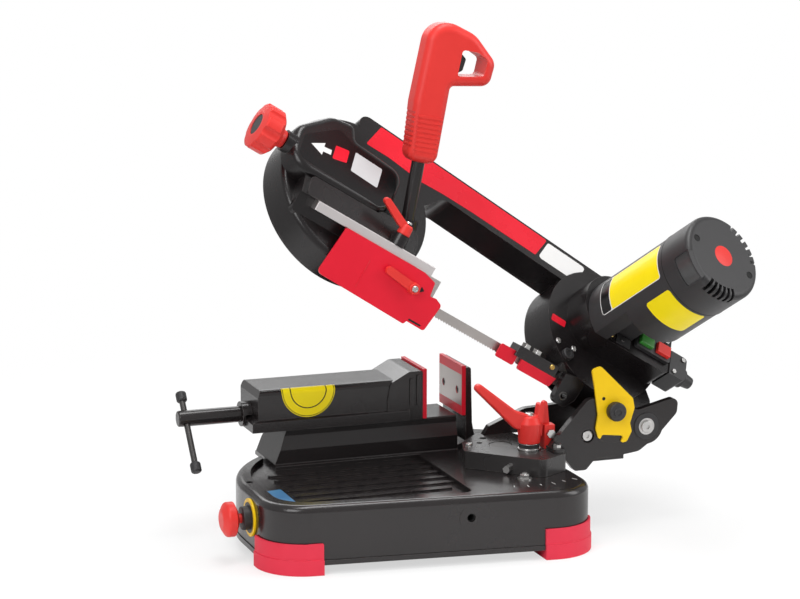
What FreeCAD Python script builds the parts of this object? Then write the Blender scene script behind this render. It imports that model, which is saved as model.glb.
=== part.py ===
import FreeCAD, Part
import math
import os
import re
import types

from FreeCAD import Placement, Rotation, Vector

os.makedirs("parts", exist_ok=True)
doc = FreeCAD.newDocument("BandSaw")
sheet = doc.addObject("Spreadsheet::Sheet", "Sizes")

# Driving sizes in millimetres and degrees.
# X runs along the vise, Y away from the front, Z up from the bench.
DRIVING = {
    "base_left": 215,
    "base_right": 207,
    "base_back": 168,
    "base_front_left": 139,
    "base_front_right": 190,
    "base_lift": 12,
    "deck_height": 87,
    "tray_depth": 7,
    "base_wall": 6,
    "deck_thickness": 14,
    "rim_round": 9,
    "foot_height": 40,
    "foot_step": 20,
    "rib_height": 2.5,
    "rib_length": 215,
    "rib_width": 9,
    "stop_rod_bore": 5.5,
    "stop_boss_radius": 15,
    "bench_hole": 4.5,
    "estop_height": 55,
    "estop_ring_radius": 24,
    "estop_ring_thickness": 3,
    "estop_bush_radius": 11,
    "estop_collar_radius": 15,
    "estop_stem_radius": 6,
    "estop_head_radius": 22,
    "vise_axis_y": 106.5,
    "screw_height": 148,
    "bed_length": 254,
    "bed_top": 131,
    "jaw_thickness": 5.5,
    "jaw_width": 85,
    "jaw_height": 67,
    "jaw_gap": 49.5,
    "fixed_jaw_face": 114,
    "jaw_screw_radius": 3.2,
    "jaw_screw_head": 5,
    "jaw_screw_length": 12,
    "slide_gap": 0.3,
    "slider_body_width": 79,
    "slider_flange_width": 89,
    "slider_height": 54,
    "screw_radius": 8,
    "sleeve_radius": 10.5,
    "collar_radius": 16.5,
    "collar_length": 13,
    "running_gap": 0.08,
    "nut_length": 34,
    "bar_radius": 4,
    "bar_length": 112,
    "knob_end_radius": 7,
    "knob_end_length": 14,
    "bar_lean": 40,
    "table_thickness": 22.7,
    "table_gap": 0.3,
    "swivel_x": 135,
    "swivel_y": -20,
    "swivel_pin_radius": 10,
    "swivel_head_radius": 15,
    "lock_x": 160,
    "lock_y": -57,
    "lock_stud_radius": 6,
    "lock_ring_radius": 13,
    "lock_hub_radius": 16,
    "lock_hub_height": 36,
    "lever_width": 13,
    "slot_clearance": 0.6,
    "pivot_x": 318,
    "pivot_z": 131.5,
    "pivot_pin_radius": 8,
    "pivot_head_radius": 11,
    "barrel_radius": 14.5,
    "front_cheek_y": -64,
    "rear_cheek_y": 32,
    "cheek_thickness": 10,
    "cheek_hub_radius": 24,
    "rear_hub_radius": 17,
    "bow_angle": 31.4,
    "blade_front": 20,
    "strand_drop": 6,
    "bow_tilt": 40,
    "wheel_radius": 85,
    "drive_s": 76,
    "idler_s": 476,
    "blade_width": 13,
    "blade_thickness": 0.65,
    "tooth_pitch": 4.2,
    "tooth_depth": 1.6,
    "blade_gap": 0.3,
    "wheel_width": 16,
    "wheel_web": 6,
    "rim_thickness": 9,
    "idler_drum": 111,
    "drive_drum": 92,
    "bow_back": 19,
    "idler_front": 25,
    "drive_front": 30,
    "drum_wall": 6,
    "idler_cavity": 104,
    "drive_cavity": 88,
    "cover_thickness": 3,
    "oval_height": 29,
    "oval_wall": 4.5,
    "tension_u": 88,
    "tension_n": 40,
    "tension_screw_radius": 5,
    "tension_boss_radius": 14,
    "tension_knob_radius": 31,
    "tension_neck_radius": 13,
    "tension_cap_radius": 14,
    "axle_radius": 8,
    "hub_radius": 17,
    "shaft_radius": 9,
    "gear_case_top": 70,
    "gear_case_wall": 6,
    "gear_module": 1.25,
    "output_teeth": 46,
    "counter_pinion_teeth": 14,
    "counter_gear_teeth": 48,
    "motor_pinion_teeth": 12,
    "gear_width": 12,
    "counter_shaft_radius": 4,
    "motor_radius": 57.5,
    "motor_bore": 52,
    "notch_top": 132,
    "motor_floor": 138,
    "motor_seam": 218,
    "motor_end": 270,
    "motor_shaft_radius": 5,
    "rotor_radius": 25,
    "stator_bore": 27,
    "stack_length": 60,
    "disc_radius": 12.5,
    "disc_thickness": 4,
    "cap_thickness": 8,
    "cap_round": 8,
    "vent_width": 4.5,
    "vent_foot": 256,
    "lug_hole": 4,
    "button_length": 21,
    "button_width": 16,
    "button_height": 9,
    "button_gap": 0.4,
    "gland_radius": 10,
    "bar_height": 12,
    "bar_depth": 18,
    "guide_bar_length": 180,
    "guard_thickness": 3,
    "tube_radius": 8.5,
    "tube_length": 118,
    "grip_round": 11,
    "groove_width": 2.8,
    "groove_depth": 2.4,
    "trigger_width": 14,
    "trigger_gap": 0.5,
    "clamp_hub_radius": 9,
    "guard_hub_radius": 8,
    "plate_thickness": 3,
    "lock_knob_radius": 12,
    "lock_knob_length": 14,
    "knob_stud_radius": 6,
    "knob_stud_reach": 54.1,
}
for row, (name, value) in enumerate(DRIVING.items(), start=1):
    sheet.set(f"A{row}", name)
    sheet.set(f"B{row}", str(value))
    sheet.setAlias(f"B{row}", name)
doc.recompute()
mm = types.SimpleNamespace(**{name: float(sheet.get(name)) for name in DRIVING})
parts = []

# Directions used to lay a sketch or a round bar along an axis.
UP = Rotation()
ALONG_X = Rotation(Vector(1, 1, 1), 120)
ALONG_MINUS_Y = Rotation(Vector(1, 0, 0), 90)
TOWARD_X = Rotation(Vector(0, 1, 0), 90)

# World frame, bow frame at the pivot, and the tilted plane of the blade loop.
WORLD = Placement()
BOW = Placement(Vector(mm.pivot_x, 0, mm.pivot_z), Rotation(Vector(0, 1, 0), mm.bow_angle))
LOOP = BOW * Placement(
    Vector(0, -mm.blade_front, -mm.strand_drop), Rotation(Vector(1, 0, 0), 90 - mm.bow_tilt)
)
SWIVEL = Placement(Vector(mm.swivel_x, mm.swivel_y, 0), UP)


def bind(feature, **sizes):
    for prop, text in sizes.items():
        feature.setExpression(prop, re.sub(r"[a-z][a-z_]*", r"Sizes.\g<0>", text))


def put(solid, frame, at, turn):
    solid.Placement = frame * Placement(Vector(*at), turn)
    return solid


def box(name, frame, at, length, width, height, turn=UP):
    solid = doc.addObject("Part::Box", name)
    bind(solid, Length=length, Width=width, Height=height)
    return put(solid, frame, at, turn)


def cylinder(name, frame, at, radius, height, turn=UP):
    solid = doc.addObject("Part::Cylinder", name)
    bind(solid, Radius=radius, Height=height)
    return put(solid, frame, at, turn)


def draw_rounded(sketch, corners):
    points = [Vector(x, y, 0) for x, y, radius in corners]
    ends = []
    for index, (x, y, radius) in enumerate(corners):
        here = points[index]
        before = (points[index - 1] - here).normalize()
        after = (points[(index + 1) % len(points)] - here).normalize()
        half = math.acos(max(-1, min(1, before.dot(after)))) / 2
        if radius < 0.01:
            ends.append((here, here))
            continue
        cut_back = radius / math.tan(half)
        middle = (before + after).normalize()
        centre = here + middle * (radius / math.sin(half))
        start = here + before * cut_back
        finish = here + after * cut_back
        sketch.addGeometry(Part.Arc(start, centre - middle * radius, finish))
        ends.append((start, finish))
    for index, (start, finish) in enumerate(ends):
        following = ends[(index + 1) % len(ends)][0]
        if finish.distanceToPoint(following) > 1e-6:
            sketch.addGeometry(Part.LineSegment(finish, following))


def new_sketch(body, plane):
    sketch = body.newObject("Sketcher::SketchObject", body.Name + "Outline")
    origin_plane = [item for item in body.Origin.OriginFeatures if item.Role == plane][0]
    sketch.AttachmentSupport = [(origin_plane, "")]
    sketch.MapMode = "FlatFace"
    return sketch


def plate(name, frame, at, corners, height, turn=UP):
    body = doc.addObject("PartDesign::Body", name)
    sketch = new_sketch(body, "XY_Plane")
    draw_rounded(sketch, corners)
    pad = body.newObject("PartDesign::Pad", name + "Pad")
    pad.Profile = sketch
    bind(pad, Length=height)
    body.Tip = pad
    return put(body, frame, at, turn)


def turned(name, frame, at, profile, turn=UP):
    body = doc.addObject("PartDesign::Body", name)
    sketch = new_sketch(body, "XZ_Plane")
    draw_rounded(sketch, profile)
    revolution = body.newObject("PartDesign::Revolution", name + "Turning")
    revolution.Profile = sketch
    revolution.ReferenceAxis = (sketch, ["V_Axis"])
    revolution.Angle = 360
    body.Tip = revolution
    return put(body, frame, at, turn)


def fuse(name, *solids):
    union = doc.addObject("Part::MultiFuse", name)
    union.Shapes = list(solids)
    union.Refine = True
    return union


def cut(name, base, *tools):
    difference = doc.addObject("Part::Cut", name)
    difference.Base = base
    difference.Tool = tools[0] if len(tools) == 1 else fuse(name + "Tools", *tools)
    difference.Refine = True
    return difference


def common(name, first, second):
    shared = doc.addObject("Part::Common", name)
    shared.Base = first
    shared.Tool = second
    return shared


def group(name, *solids):
    bundle = doc.addObject("Part::Compound", name)
    bundle.Links = list(solids)
    return bundle


def rounded_edges(name, base, radius, pick):
    doc.recompute()
    chosen = [index for index, edge in enumerate(base.Shape.Edges, start=1) if pick(edge)]
    feature = doc.addObject("Part::Fillet", name)
    feature.Base = base
    feature.Edges = [(index, radius, radius) for index in chosen]
    return feature


def finish(label, feature):
    feature.Label = label
    parts.append(feature)
    return feature


def arc_slot(name, frame, at, radius, half_width, first, last, height, turn=UP):
    body = doc.addObject("PartDesign::Body", name)
    sketch = new_sketch(body, "XY_Plane")

    def spot(reach, angle):
        return Vector(reach * math.cos(math.radians(angle)), reach * math.sin(math.radians(angle)), 0)

    middle = (first + last) / 2
    outer = radius + half_width
    inner = radius - half_width
    lead = math.degrees(half_width / radius)
    sketch.addGeometry(Part.Arc(spot(outer, first), spot(outer, middle), spot(outer, last)))
    sketch.addGeometry(Part.Arc(spot(inner, first), spot(inner, middle), spot(inner, last)))
    sketch.addGeometry(Part.Arc(spot(outer, first), spot(radius, first - lead), spot(inner, first)))
    sketch.addGeometry(Part.Arc(spot(outer, last), spot(radius, last + lead), spot(inner, last)))
    pad = body.newObject("PartDesign::Pad", name + "Pad")
    pad.Profile = sketch
    bind(pad, Length=height)
    body.Tip = pad
    return put(body, frame, at, turn)


def gear(name, frame, at, teeth, height, first_tooth):
    pitch_angle = 2 * math.pi / teeth
    tip = mm.gear_module * (teeth / 2 + 0.85)
    root = mm.gear_module * (teeth / 2 - 1.15)
    corners = []
    for tooth in range(int(teeth)):
        for reach, share in ((root, -0.34), (tip, -0.13), (tip, 0.13), (root, 0.34)):
            angle = math.radians(first_tooth) + pitch_angle * (tooth + share)
            corners.append((reach * math.cos(angle), reach * math.sin(angle), 0))
    return plate(name, frame, at, corners, height)


# Base: a hollow casting with a ribbed chip tray, a swivel slot and a stop-rod bore.
def base_outline(grow):
    return [
        (-mm.base_left - grow, -mm.base_front_left - grow, 58 + grow),
        (mm.base_right + grow, -mm.base_front_right - grow, 55 + grow),
        (mm.base_right + grow, mm.base_back + grow, 60 + grow),
        (-mm.base_left - grow, mm.base_back + grow, 185 + grow),
    ]


base_block = plate(
    "base_block", WORLD, (0, 0, mm.base_lift), base_outline(0), "deck_height - base_lift"
)
base_rounded = rounded_edges(
    "base_rounded",
    base_block,
    mm.rim_round,
    lambda edge: edge.BoundBox.ZMin > mm.deck_height - 0.01,
)
base_hollow = plate(
    "base_hollow",
    WORLD,
    (0, 0, mm.base_lift - 1),
    base_outline(-mm.base_wall),
    "deck_height - deck_thickness - base_lift + 1",
)
tray = plate(
    "tray",
    WORLD,
    (0, 0, mm.deck_height - mm.tray_depth),
    [(-194, -119, 44), (48, -149, 12), (48, 56, 10), (146, 56, 8), (146, 156, 8), (-194, 156, 166)],
    "tray_depth + 1",
)
bed_seat = box("bed_seat", WORLD, (-150, mm.vise_axis_y - 47, mm.deck_height - mm.tray_depth), "296",
               "94", "20")
stop_boss = cylinder(
    "stop_boss", WORLD, (36, -160.5, 60), "stop_boss_radius", "8", ALONG_MINUS_Y
)
stop_bore = cylinder("stop_bore", WORLD, (36, -150, 60), "stop_rod_bore", "40", ALONG_MINUS_Y)
bench_bore = cylinder("bench_bore", WORLD, (-202, -8, 60), "bench_hole", "40")
estop_bore = cylinder(
    "estop_bore", WORLD, (-230, -56, mm.estop_height), "estop_bush_radius", "40", TOWARD_X
)
swivel_bore = cylinder("swivel_bore", SWIVEL, (0, 0, 60), "swivel_pin_radius", "40")
lock_reach = math.hypot(mm.lock_x - mm.swivel_x, mm.lock_y - mm.swivel_y)
lock_angle = math.degrees(math.atan2(mm.lock_y - mm.swivel_y, mm.lock_x - mm.swivel_x))
lock_slot = arc_slot(
    "lock_slot",
    SWIVEL,
    (0, 0, 60),
    lock_reach,
    mm.lock_stud_radius + mm.slot_clearance,
    lock_angle - 1,
    lock_angle + 46,
    "40",
)
base_shell = cut(
    "base_shell", fuse("base_bossed", cut("base_open", base_rounded, base_hollow), stop_boss),
    tray, bed_seat, stop_bore, bench_bore, estop_bore, swivel_bore, lock_slot,
)
ribs = []
for number in range(6):
    level = -104 + 26 * number
    left = -166
    ribs.append(
        plate(
            f"tray_rib_{number}",
            WORLD,
            (left, level, mm.deck_height - mm.tray_depth - 0.5),
            [
                (0, 0, mm.rib_width / 2 - 0.01),
                (mm.rib_length - 12 * (number < 1), 0, mm.rib_width / 2 - 0.01),
                (mm.rib_length - 12 * (number < 1), mm.rib_width, mm.rib_width / 2 - 0.01),
                (0, mm.rib_width, mm.rib_width / 2 - 0.01),
            ],
            "rib_height + 0.5",
        )
    )
finish("base_casting", fuse("base_casting", base_shell, *ribs))

# Four corner feet that carry the base and wrap its corners.
foot_low = plate("foot_low", WORLD, (0, 0, 0), base_outline(5), "foot_step")
foot_high = plate("foot_high", WORLD, (0, 0, mm.foot_step), base_outline(3.5), "foot_height - foot_step")
foot_room = plate("foot_room", WORLD, (0, 0, mm.base_lift), base_outline(0), "foot_height")
foot_well = plate("foot_well", WORLD, (0, 0, 5), base_outline(-22), "foot_height")
foot_corners = fuse(
    "foot_corners",
    box("foot_front_left", WORLD, (-230, -210, -1), "80", "128", "60"),
    box("foot_front_right", WORLD, (131, -210, -1), "90", "70", "60"),
    box("foot_back_right", WORLD, (131, 100, -1), "90", "90", "60"),
    box("foot_back_left", WORLD, (-230, 70, -1), "110", "120", "60"),
)
foot_ring = cut("foot_ring", fuse("foot_band", foot_low, foot_high), foot_room, foot_well)
finish("corner_feet", common("corner_feet", foot_ring, foot_corners))

# Emergency stop: yellow ring, switch body through the wall, red mushroom head.
LEFT_WALL = Placement(Vector(-mm.base_left, -56, mm.estop_height), Rotation(Vector(0, 1, 0), -90))
estop_disc = cylinder("estop_disc", LEFT_WALL, (0, 0, 0), "estop_ring_radius", "estop_ring_thickness")
estop_eye = cylinder("estop_eye", LEFT_WALL, (0, 0, -1), "estop_bush_radius", "10")
finish("estop_ring", cut("estop_ring", estop_disc, estop_eye))
estop_solid = turned(
    "estop_solid",
    LEFT_WALL,
    (0, 0, 0),
    [
        (0, -36, 0), (14, -36, 0), (14, -7, 0), (mm.estop_bush_radius, -7, 0),
        (mm.estop_bush_radius, 3, 0), (mm.estop_collar_radius, 3, 0), (mm.estop_collar_radius, 13, 2),
        (0, 13, 0),
    ],
)
estop_socket = cylinder("estop_socket", LEFT_WALL, (0, 0, -8), "estop_stem_radius + running_gap", "30")
finish("estop_body", cut("estop_body", estop_solid, estop_socket))
finish(
    "estop_head",
    turned(
        "estop_head",
        LEFT_WALL,
        (0, 0, 0),
        [
            (0, -2, 0), (mm.estop_stem_radius, -2, 0), (mm.estop_stem_radius, 19, 0),
            (14, 19, 1), (mm.estop_head_radius, 23, 1), (mm.estop_head_radius, 33, 5),
            (12, 39, 8), (0, 39, 0),
        ],
    ),
)

# Vise bed with a sloping left end, the screw nut standing on it, and the fixed jaw.
bed_left = 108 - mm.bed_length
bed_section = plate(
    "bed_section",
    WORLD,
    (bed_left, mm.vise_axis_y, 0),
    [
        (-46, 80, 0), (46, 80, 0), (46, 85, 1.5), (42, 86, 2), (42, 105, 3), (36.5, 122, 3),
        (36.5, mm.bed_top, 2), (-36.5, mm.bed_top, 2), (-36.5, 122, 3), (-42, 105, 3),
        (-42, 86, 2), (-46, 85, 1.5),
    ],
    "bed_length",
    ALONG_X,
)
bed_side = plate(
    "bed_side",
    WORLD,
    (0, 200, 0),
    [(bed_left, 79, 0), (110, 79, 0), (110, 140, 0), (-124, 140, 0), (bed_left, 86, 3)],
    "200",
    ALONG_MINUS_Y,
)
bed_clear = box("bed_clear", WORLD, (-60, mm.vise_axis_y - 12, 70), "120", "24", "40")
finish("vise_bed", cut("vise_bed", common("bed_shaped", bed_section, bed_side), bed_clear))
nut_left = -100
nut_block = plate(
    "nut_block",
    WORLD,
    (nut_left, mm.vise_axis_y, 0),
    [(-15, mm.bed_top, 0), (15, mm.bed_top, 0), (15, 160, 5), (-15, 160, 5)],
    "nut_length",
    ALONG_X,
)
nut_bore = cylinder(
    "nut_bore", WORLD, (nut_left - 5, mm.vise_axis_y, mm.screw_height),
    "screw_radius + running_gap", "nut_length + 10", TOWARD_X,
)
finish("vise_nut", cut("vise_nut", nut_block, nut_bore))
jaw_y = mm.vise_axis_y - mm.jaw_width / 2
bracket_face = mm.fixed_jaw_face + mm.jaw_thickness
bracket_side = plate(
    "bracket_side",
    WORLD,
    (0, jaw_y + mm.jaw_width, 0),
    [
        (108.3, 80, 0), (143, 80, 0), (143, 88, 2), (134, 92, 6), (128.5, 120, 20),
        (126.5, 196, 3), (bracket_face, 196, 0), (bracket_face, 96, 0), (108.3, 92, 0),
    ],
    "jaw_width",
    ALONG_MINUS_Y,
)
jaw_screw_y = (mm.vise_axis_y - 25, mm.vise_axis_y + 25)
jaw_screw_z = 163
fixed_holes = [
    cylinder(f"fixed_hole_{number}", WORLD, (mm.fixed_jaw_face - 1, level, jaw_screw_z),
             "jaw_screw_radius", "jaw_screw_length + 1", TOWARD_X)
    for number, level in enumerate(jaw_screw_y)
]
finish("fixed_jaw_bracket", cut("fixed_jaw_bracket", bracket_side, *fixed_holes))


def jaw_plate(name, left, mouth):
    blank = box(name + "_blank", WORLD, (left, jaw_y, mm.bed_top + 0.3), "jaw_thickness", "jaw_width",
                "jaw_height")
    holes = []
    for number, level in enumerate(jaw_screw_y):
        holes.append(cylinder(f"{name}_hole_{number}", WORLD, (left - 1, level, jaw_screw_z),
                              "jaw_screw_radius", "jaw_thickness + 2", TOWARD_X))
        holes.append(cylinder(f"{name}_sink_{number}", WORLD, (mouth, level, jaw_screw_z),
                              "jaw_screw_head", "3.5", TOWARD_X))
    finish(name, cut(name, blank, *holes))


def jaw_screws(name, mouth, direction):
    screws = []
    for number, level in enumerate(jaw_screw_y):
        screws.append(
            turned(
                f"{name}_{number}",
                WORLD,
                (mouth, level, jaw_screw_z),
                [
                    (0, 1.8, 0), (2.2, 1.8, 0), (2.2, 0.6, 0), (mm.jaw_screw_head - 0.2, 0.6, 0),
                    (mm.jaw_screw_head - 0.2, 3.5, 0), (mm.jaw_screw_radius, 3.5, 0),
                    (mm.jaw_screw_radius, mm.jaw_screw_length, 0), (0, mm.jaw_screw_length, 0),
                ],
                Rotation(Vector(0, 1, 0), 90 * direction),
            )
        )
    finish(name, group(name, *screws))


jaw_plate("fixed_jaw_plate", mm.fixed_jaw_face, mm.fixed_jaw_face)
jaw_screws("fixed_jaw_screws", mm.fixed_jaw_face, 1)

# Vise slider: a channel over the nut, a raised jaw head, the moving jaw and the screw collar.
moving_face = mm.fixed_jaw_face - mm.jaw_gap
slide_level = mm.bed_top + mm.slide_gap
slider_section = plate(
    "slider_section",
    WORLD,
    (-176, mm.vise_axis_y, 0),
    [
        (-mm.slider_flange_width / 2, slide_level, 0), (mm.slider_flange_width / 2, slide_level, 0),
        (mm.slider_flange_width / 2, 145, 2), (mm.slider_body_width / 2, 145, 2),
        (mm.slider_body_width / 2, slide_level + mm.slider_height, 7),
        (-mm.slider_body_width / 2, slide_level + mm.slider_height, 7),
        (-mm.slider_body_width / 2, 145, 2), (-mm.slider_flange_width / 2, 145, 2),
    ],
    "216",
    ALONG_X,
)
slider_side = plate(
    "slider_side",
    WORLD,
    (0, 200, 0),
    [
        (-176, 130, 0), (50, 130, 0), (50, 200, 0), (-158, 200, 0), (-167, 176, 5), (-167, 146, 3),
        (-176, 144, 2),
    ],
    "200",
    ALONG_MINUS_Y,
)
slider_head = plate(
    "slider_head",
    WORLD,
    (0, jaw_y + mm.jaw_width - 1, 0),
    [
        (10, slide_level, 0), (moving_face - mm.jaw_thickness, slide_level, 0),
        (moving_face - mm.jaw_thickness, 196, 3), (40, 196, 10), (14, 182, 10), (10, 160, 0),
    ],
    "jaw_width - 2",
    ALONG_MINUS_Y,
)
slider_room = box(
    "slider_room", WORLD, (-150, mm.vise_axis_y - 19, 120), "176", "38", "48"
)
slider_bore = cylinder(
    "slider_bore", WORLD, (-190, mm.vise_axis_y, mm.screw_height), "screw_radius + running_gap",
    "60", TOWARD_X,
)
moving_holes = [
    cylinder(f"moving_hole_{number}", WORLD, (moving_face - mm.jaw_screw_length, level, jaw_screw_z),
             "jaw_screw_radius", "jaw_screw_length + 1", TOWARD_X)
    for number, level in enumerate(jaw_screw_y)
]
slider_body = fuse("slider_body", common("slider_long", slider_section, slider_side), slider_head)
finish("vise_slider", cut("vise_slider", slider_body, slider_room, slider_bore, *moving_holes))
jaw_plate("moving_jaw_plate", moving_face - mm.jaw_thickness, moving_face - 3.5)
jaw_screws("moving_jaw_screws", moving_face, -1)
collar_left = -167 - mm.collar_length
collar_ring = cylinder(
    "collar_ring", WORLD, (collar_left, mm.vise_axis_y, mm.screw_height), "collar_radius",
    "collar_length", TOWARD_X,
)
collar_step = box("collar_step", WORLD, (-176, mm.vise_axis_y - 60, 120), "20", "120", "29.5")
collar_eye = cylinder(
    "collar_eye", WORLD, (-190, mm.vise_axis_y, mm.screw_height), "screw_radius + running_gap",
    "60", TOWARD_X,
)
finish("screw_collar", cut("screw_collar", collar_ring, collar_step, collar_eye))

# Vise screw with its outer sleeve, crossed by a sliding tommy bar with end knobs.
SCREW = Placement(Vector(0, mm.vise_axis_y, mm.screw_height), TOWARD_X)
bar_x = -253
screw_turned = turned(
    "screw_turned",
    SCREW,
    (0, 0, 0),
    [
        (0, -264, 0), (mm.sleeve_radius, -264, 2), (mm.sleeve_radius, collar_left - 0.3, 0),
        (mm.screw_radius, collar_left - 0.3, 0), (mm.screw_radius, 18, 1), (0, 18, 0),
    ],
)
BAR = Placement(
    Vector(bar_x, mm.vise_axis_y, mm.screw_height), Rotation(Vector(1, 0, 0), -mm.bar_lean)
)
bar_hole = cylinder("bar_hole", BAR, (0, 0, -30), "bar_radius + running_gap", "60")
finish("vise_screw", cut("vise_screw", screw_turned, bar_hole))
bar_low = -76
finish("tommy_bar", cylinder("tommy_bar", BAR, (0, 0, bar_low), "bar_radius", "bar_length"))


def bar_knob(name, foot, hole_foot):
    ball = turned(
        name + "_ball",
        BAR,
        (0, 0, foot),
        [
            (0, 0, 0), (mm.knob_end_radius, 0, 3), (mm.knob_end_radius, mm.knob_end_length, 3),
            (0, mm.knob_end_length, 0),
        ],
    )
    hole = cylinder(name + "_hole", BAR, (0, 0, hole_foot), "bar_radius", "knob_end_length")
    return cut(name, ball, hole)


finish(
    "tommy_knobs",
    group(
        "tommy_knobs",
        bar_knob("knob_lower", bar_low - 2, bar_low),
        bar_knob("knob_upper", bar_low + mm.bar_length + 2 - mm.knob_end_length,
                 bar_low + mm.bar_length - mm.knob_end_length),
    ),
)

# Turntable: the swivelling plate, its pin, the lock stud under the clamp lever, and a red latch.
table_foot = mm.deck_height + mm.table_gap
table_top = table_foot + mm.table_thickness
table_blank = plate(
    "table_blank",
    WORLD,
    (0, 0, table_foot),
    [(78, -36, 8), (156, -116, 10), (198, -92, 8), (191, -40, 8), (170, 46, 12), (128, 46, 10), (92, 8,
            18)],
    "table_thickness",
)
table_pin_hole = cylinder("table_pin_hole", SWIVEL, (0, 0, 80), "swivel_pin_radius + running_gap", "60")
table_pin_sink = cylinder("table_pin_sink", SWIVEL, (0, 0, table_top - 6), "swivel_head_radius + 0.3", "20")
table_lock_hole = cylinder("table_lock_hole", WORLD, (mm.lock_x, mm.lock_y, 80), "lock_stud_radius", "60")
table_slot_hole = cylinder("table_slot_hole", WORLD, (112, -4, 80), "4", "60")
table_lift_hole = cylinder("table_lift_hole", WORLD, (126, 18, 80), "5", "60")
finish(
    "turntable_plate",
    cut("turntable_plate", table_blank, table_pin_hole, table_pin_sink, table_lock_hole,
        table_slot_hole, table_lift_hole),
)
deck_under = mm.deck_height - mm.deck_thickness
finish(
    "swivel_pin",
    turned(
        "swivel_pin",
        SWIVEL,
        (0, 0, 0),
        [
            (0, deck_under - 13, 0), (17, deck_under - 13, 1), (17, deck_under, 0),
            (mm.swivel_pin_radius, deck_under, 0), (mm.swivel_pin_radius, table_top - 5.7, 0),
            (mm.swivel_head_radius, table_top - 5.7, 0), (mm.swivel_head_radius, table_top - 0.5, 1),
            (0, table_top - 0.5, 0),
        ],
    ),
)
finish(
    "lock_stud",
    turned(
        "lock_stud",
        WORLD,
        (mm.lock_x, mm.lock_y, 0),
        [
            (0, deck_under - 12, 0), (11, deck_under - 12, 1), (11, deck_under - 0.3, 0),
            (mm.lock_stud_radius, deck_under - 0.3, 0), (mm.lock_stud_radius, table_top, 0),
            (15, table_top, 0), (15, table_top + 2.5, 0), (mm.lock_ring_radius, table_top + 2.5, 0),
            (mm.lock_ring_radius, table_top + 9, 0), (mm.lock_stud_radius, table_top + 9, 0),
            (mm.lock_stud_radius, table_top + 40, 1), (0, table_top + 40, 0),
        ],
    ),
)
LOCK = Placement(Vector(mm.lock_x, mm.lock_y, table_top + 9.3), UP)
lever_hub = turned(
    "lever_hub",
    LOCK,
    (0, 0, 0),
    [
        (0, 0, 0), (mm.lock_hub_radius - 2, 0, 1), (mm.lock_hub_radius, mm.lock_hub_height - 10, 3),
        (mm.lock_hub_radius - 5, mm.lock_hub_height, 4), (0, mm.lock_hub_height, 0),
    ],
)
lever_arm = plate(
    "lever_arm",
    LOCK,
    (0, mm.lever_width / 2, 0),
    [(4, 16, 2), (4, 35, 2), (-20, 44, 8), (-72, 85, 5), (-77, 76, 5), (-22, 20, 14)],
    "lever_width",
    ALONG_MINUS_Y,
)
lever_soft = rounded_edges(
    "lever_soft", lever_arm, 3,
    lambda edge: abs(edge.BoundBox.YMax - edge.BoundBox.YMin) < 0.01 and edge.BoundBox.XMin < 150,
)
lever_hole = cylinder("lever_hole", LOCK, (0, 0, -1), "lock_stud_radius + running_gap", "33")
finish("lock_lever", cut("lock_lever", fuse("lever_whole", lever_hub, lever_soft), lever_hole))
latch_foot = box("latch_foot", WORLD, (180, -61, table_top), "14", "15", "31")
latch_tab = plate(
    "latch_tab",
    WORLD,
    (0, -48, 0),
    [(180, 120, 0), (191, 120, 0), (189, 141, 2), (186, 173, 3), (179.5, 170, 3)],
    "6",
    ALONG_MINUS_Y,
)
finish("latch_block", fuse("latch_block", latch_foot, latch_tab))

# Pivot support: two cheeks on the turntable joined by a low web, with the arc slot for the lock knob.
PIVOT = Placement(Vector(mm.pivot_x, 0, mm.pivot_z), UP)
front_wall = plate(
    "front_wall",
    WORLD,
    (0, mm.front_cheek_y, 0),
    [
        (180, table_top, 0), (186, 120, 8), (238, 176, 14), (306, 154, 12), (364, 168, 8),
        (362, 146, 10), (334, 117, 12), (308, 99, 14), (268, 94, 20), (246, 94, 6), (233, 80, 6),
        (217, 80, 6), (204, 96, 8), (199, table_top, 0),
    ],
    "cheek_thickness",
    ALONG_MINUS_Y,
)
front_hub = cylinder(
    "front_hub", PIVOT, (0, mm.front_cheek_y, 0), "cheek_hub_radius", "cheek_thickness", ALONG_MINUS_Y
)
front_foot = plate(
    "front_foot", WORLD, (0, 0, table_top),
    [(180, -94, 4), (196, -91, 4), (196, -66, 0), (180, -66, 0)], "6",
)
knob_slot = arc_slot(
    "knob_slot",
    PIVOT,
    (0, mm.front_cheek_y + 1, 0),
    mm.knob_stud_reach,
    mm.knob_stud_radius + 1,
    142,
    190,
    "cheek_thickness + 2",
    ALONG_MINUS_Y,
)
rear_wall = plate(
    "rear_wall",
    WORLD,
    (0, mm.rear_cheek_y + mm.cheek_thickness, 0),
    [
        (132, table_top, 0), (140, 122, 6), (190, 142, 20), (318, 148.5, 0), (318, 114.5, 0),
        (290, 88.5, 6), (210, 88.5, 6), (200, table_top, 6), (168, table_top, 0),
    ],
    "cheek_thickness",
    ALONG_MINUS_Y,
)
rear_hub = cylinder(
    "rear_hub", PIVOT, (0, mm.rear_cheek_y + mm.cheek_thickness, 0), "rear_hub_radius",
    "cheek_thickness", ALONG_MINUS_Y,
)
low_web = box(
    "low_web", WORLD, (214, mm.front_cheek_y - 2, 88.5), "76",
    "rear_cheek_y - front_cheek_y + 4", "8",
)
pivot_bore = cylinder("pivot_bore", PIVOT, (0, 60, 0), "pivot_pin_radius", "150", ALONG_MINUS_Y)
boss_screw_hole = cylinder(
    "boss_screw_hole", WORLD, (235, -60, 125), "3", "40", ALONG_MINUS_Y
)
boss_screw_sink = cylinder(
    "boss_screw_sink", WORLD, (235, mm.front_cheek_y - mm.cheek_thickness + 5, 125), "9", "10",
    ALONG_MINUS_Y
)
support_solid = fuse(
    "support_solid", front_wall, front_hub, front_foot, rear_wall, rear_hub, low_web
)
finish("pivot_support", cut("pivot_support", support_solid, knob_slot, pivot_bore, boss_screw_hole,
                            boss_screw_sink))
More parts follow.
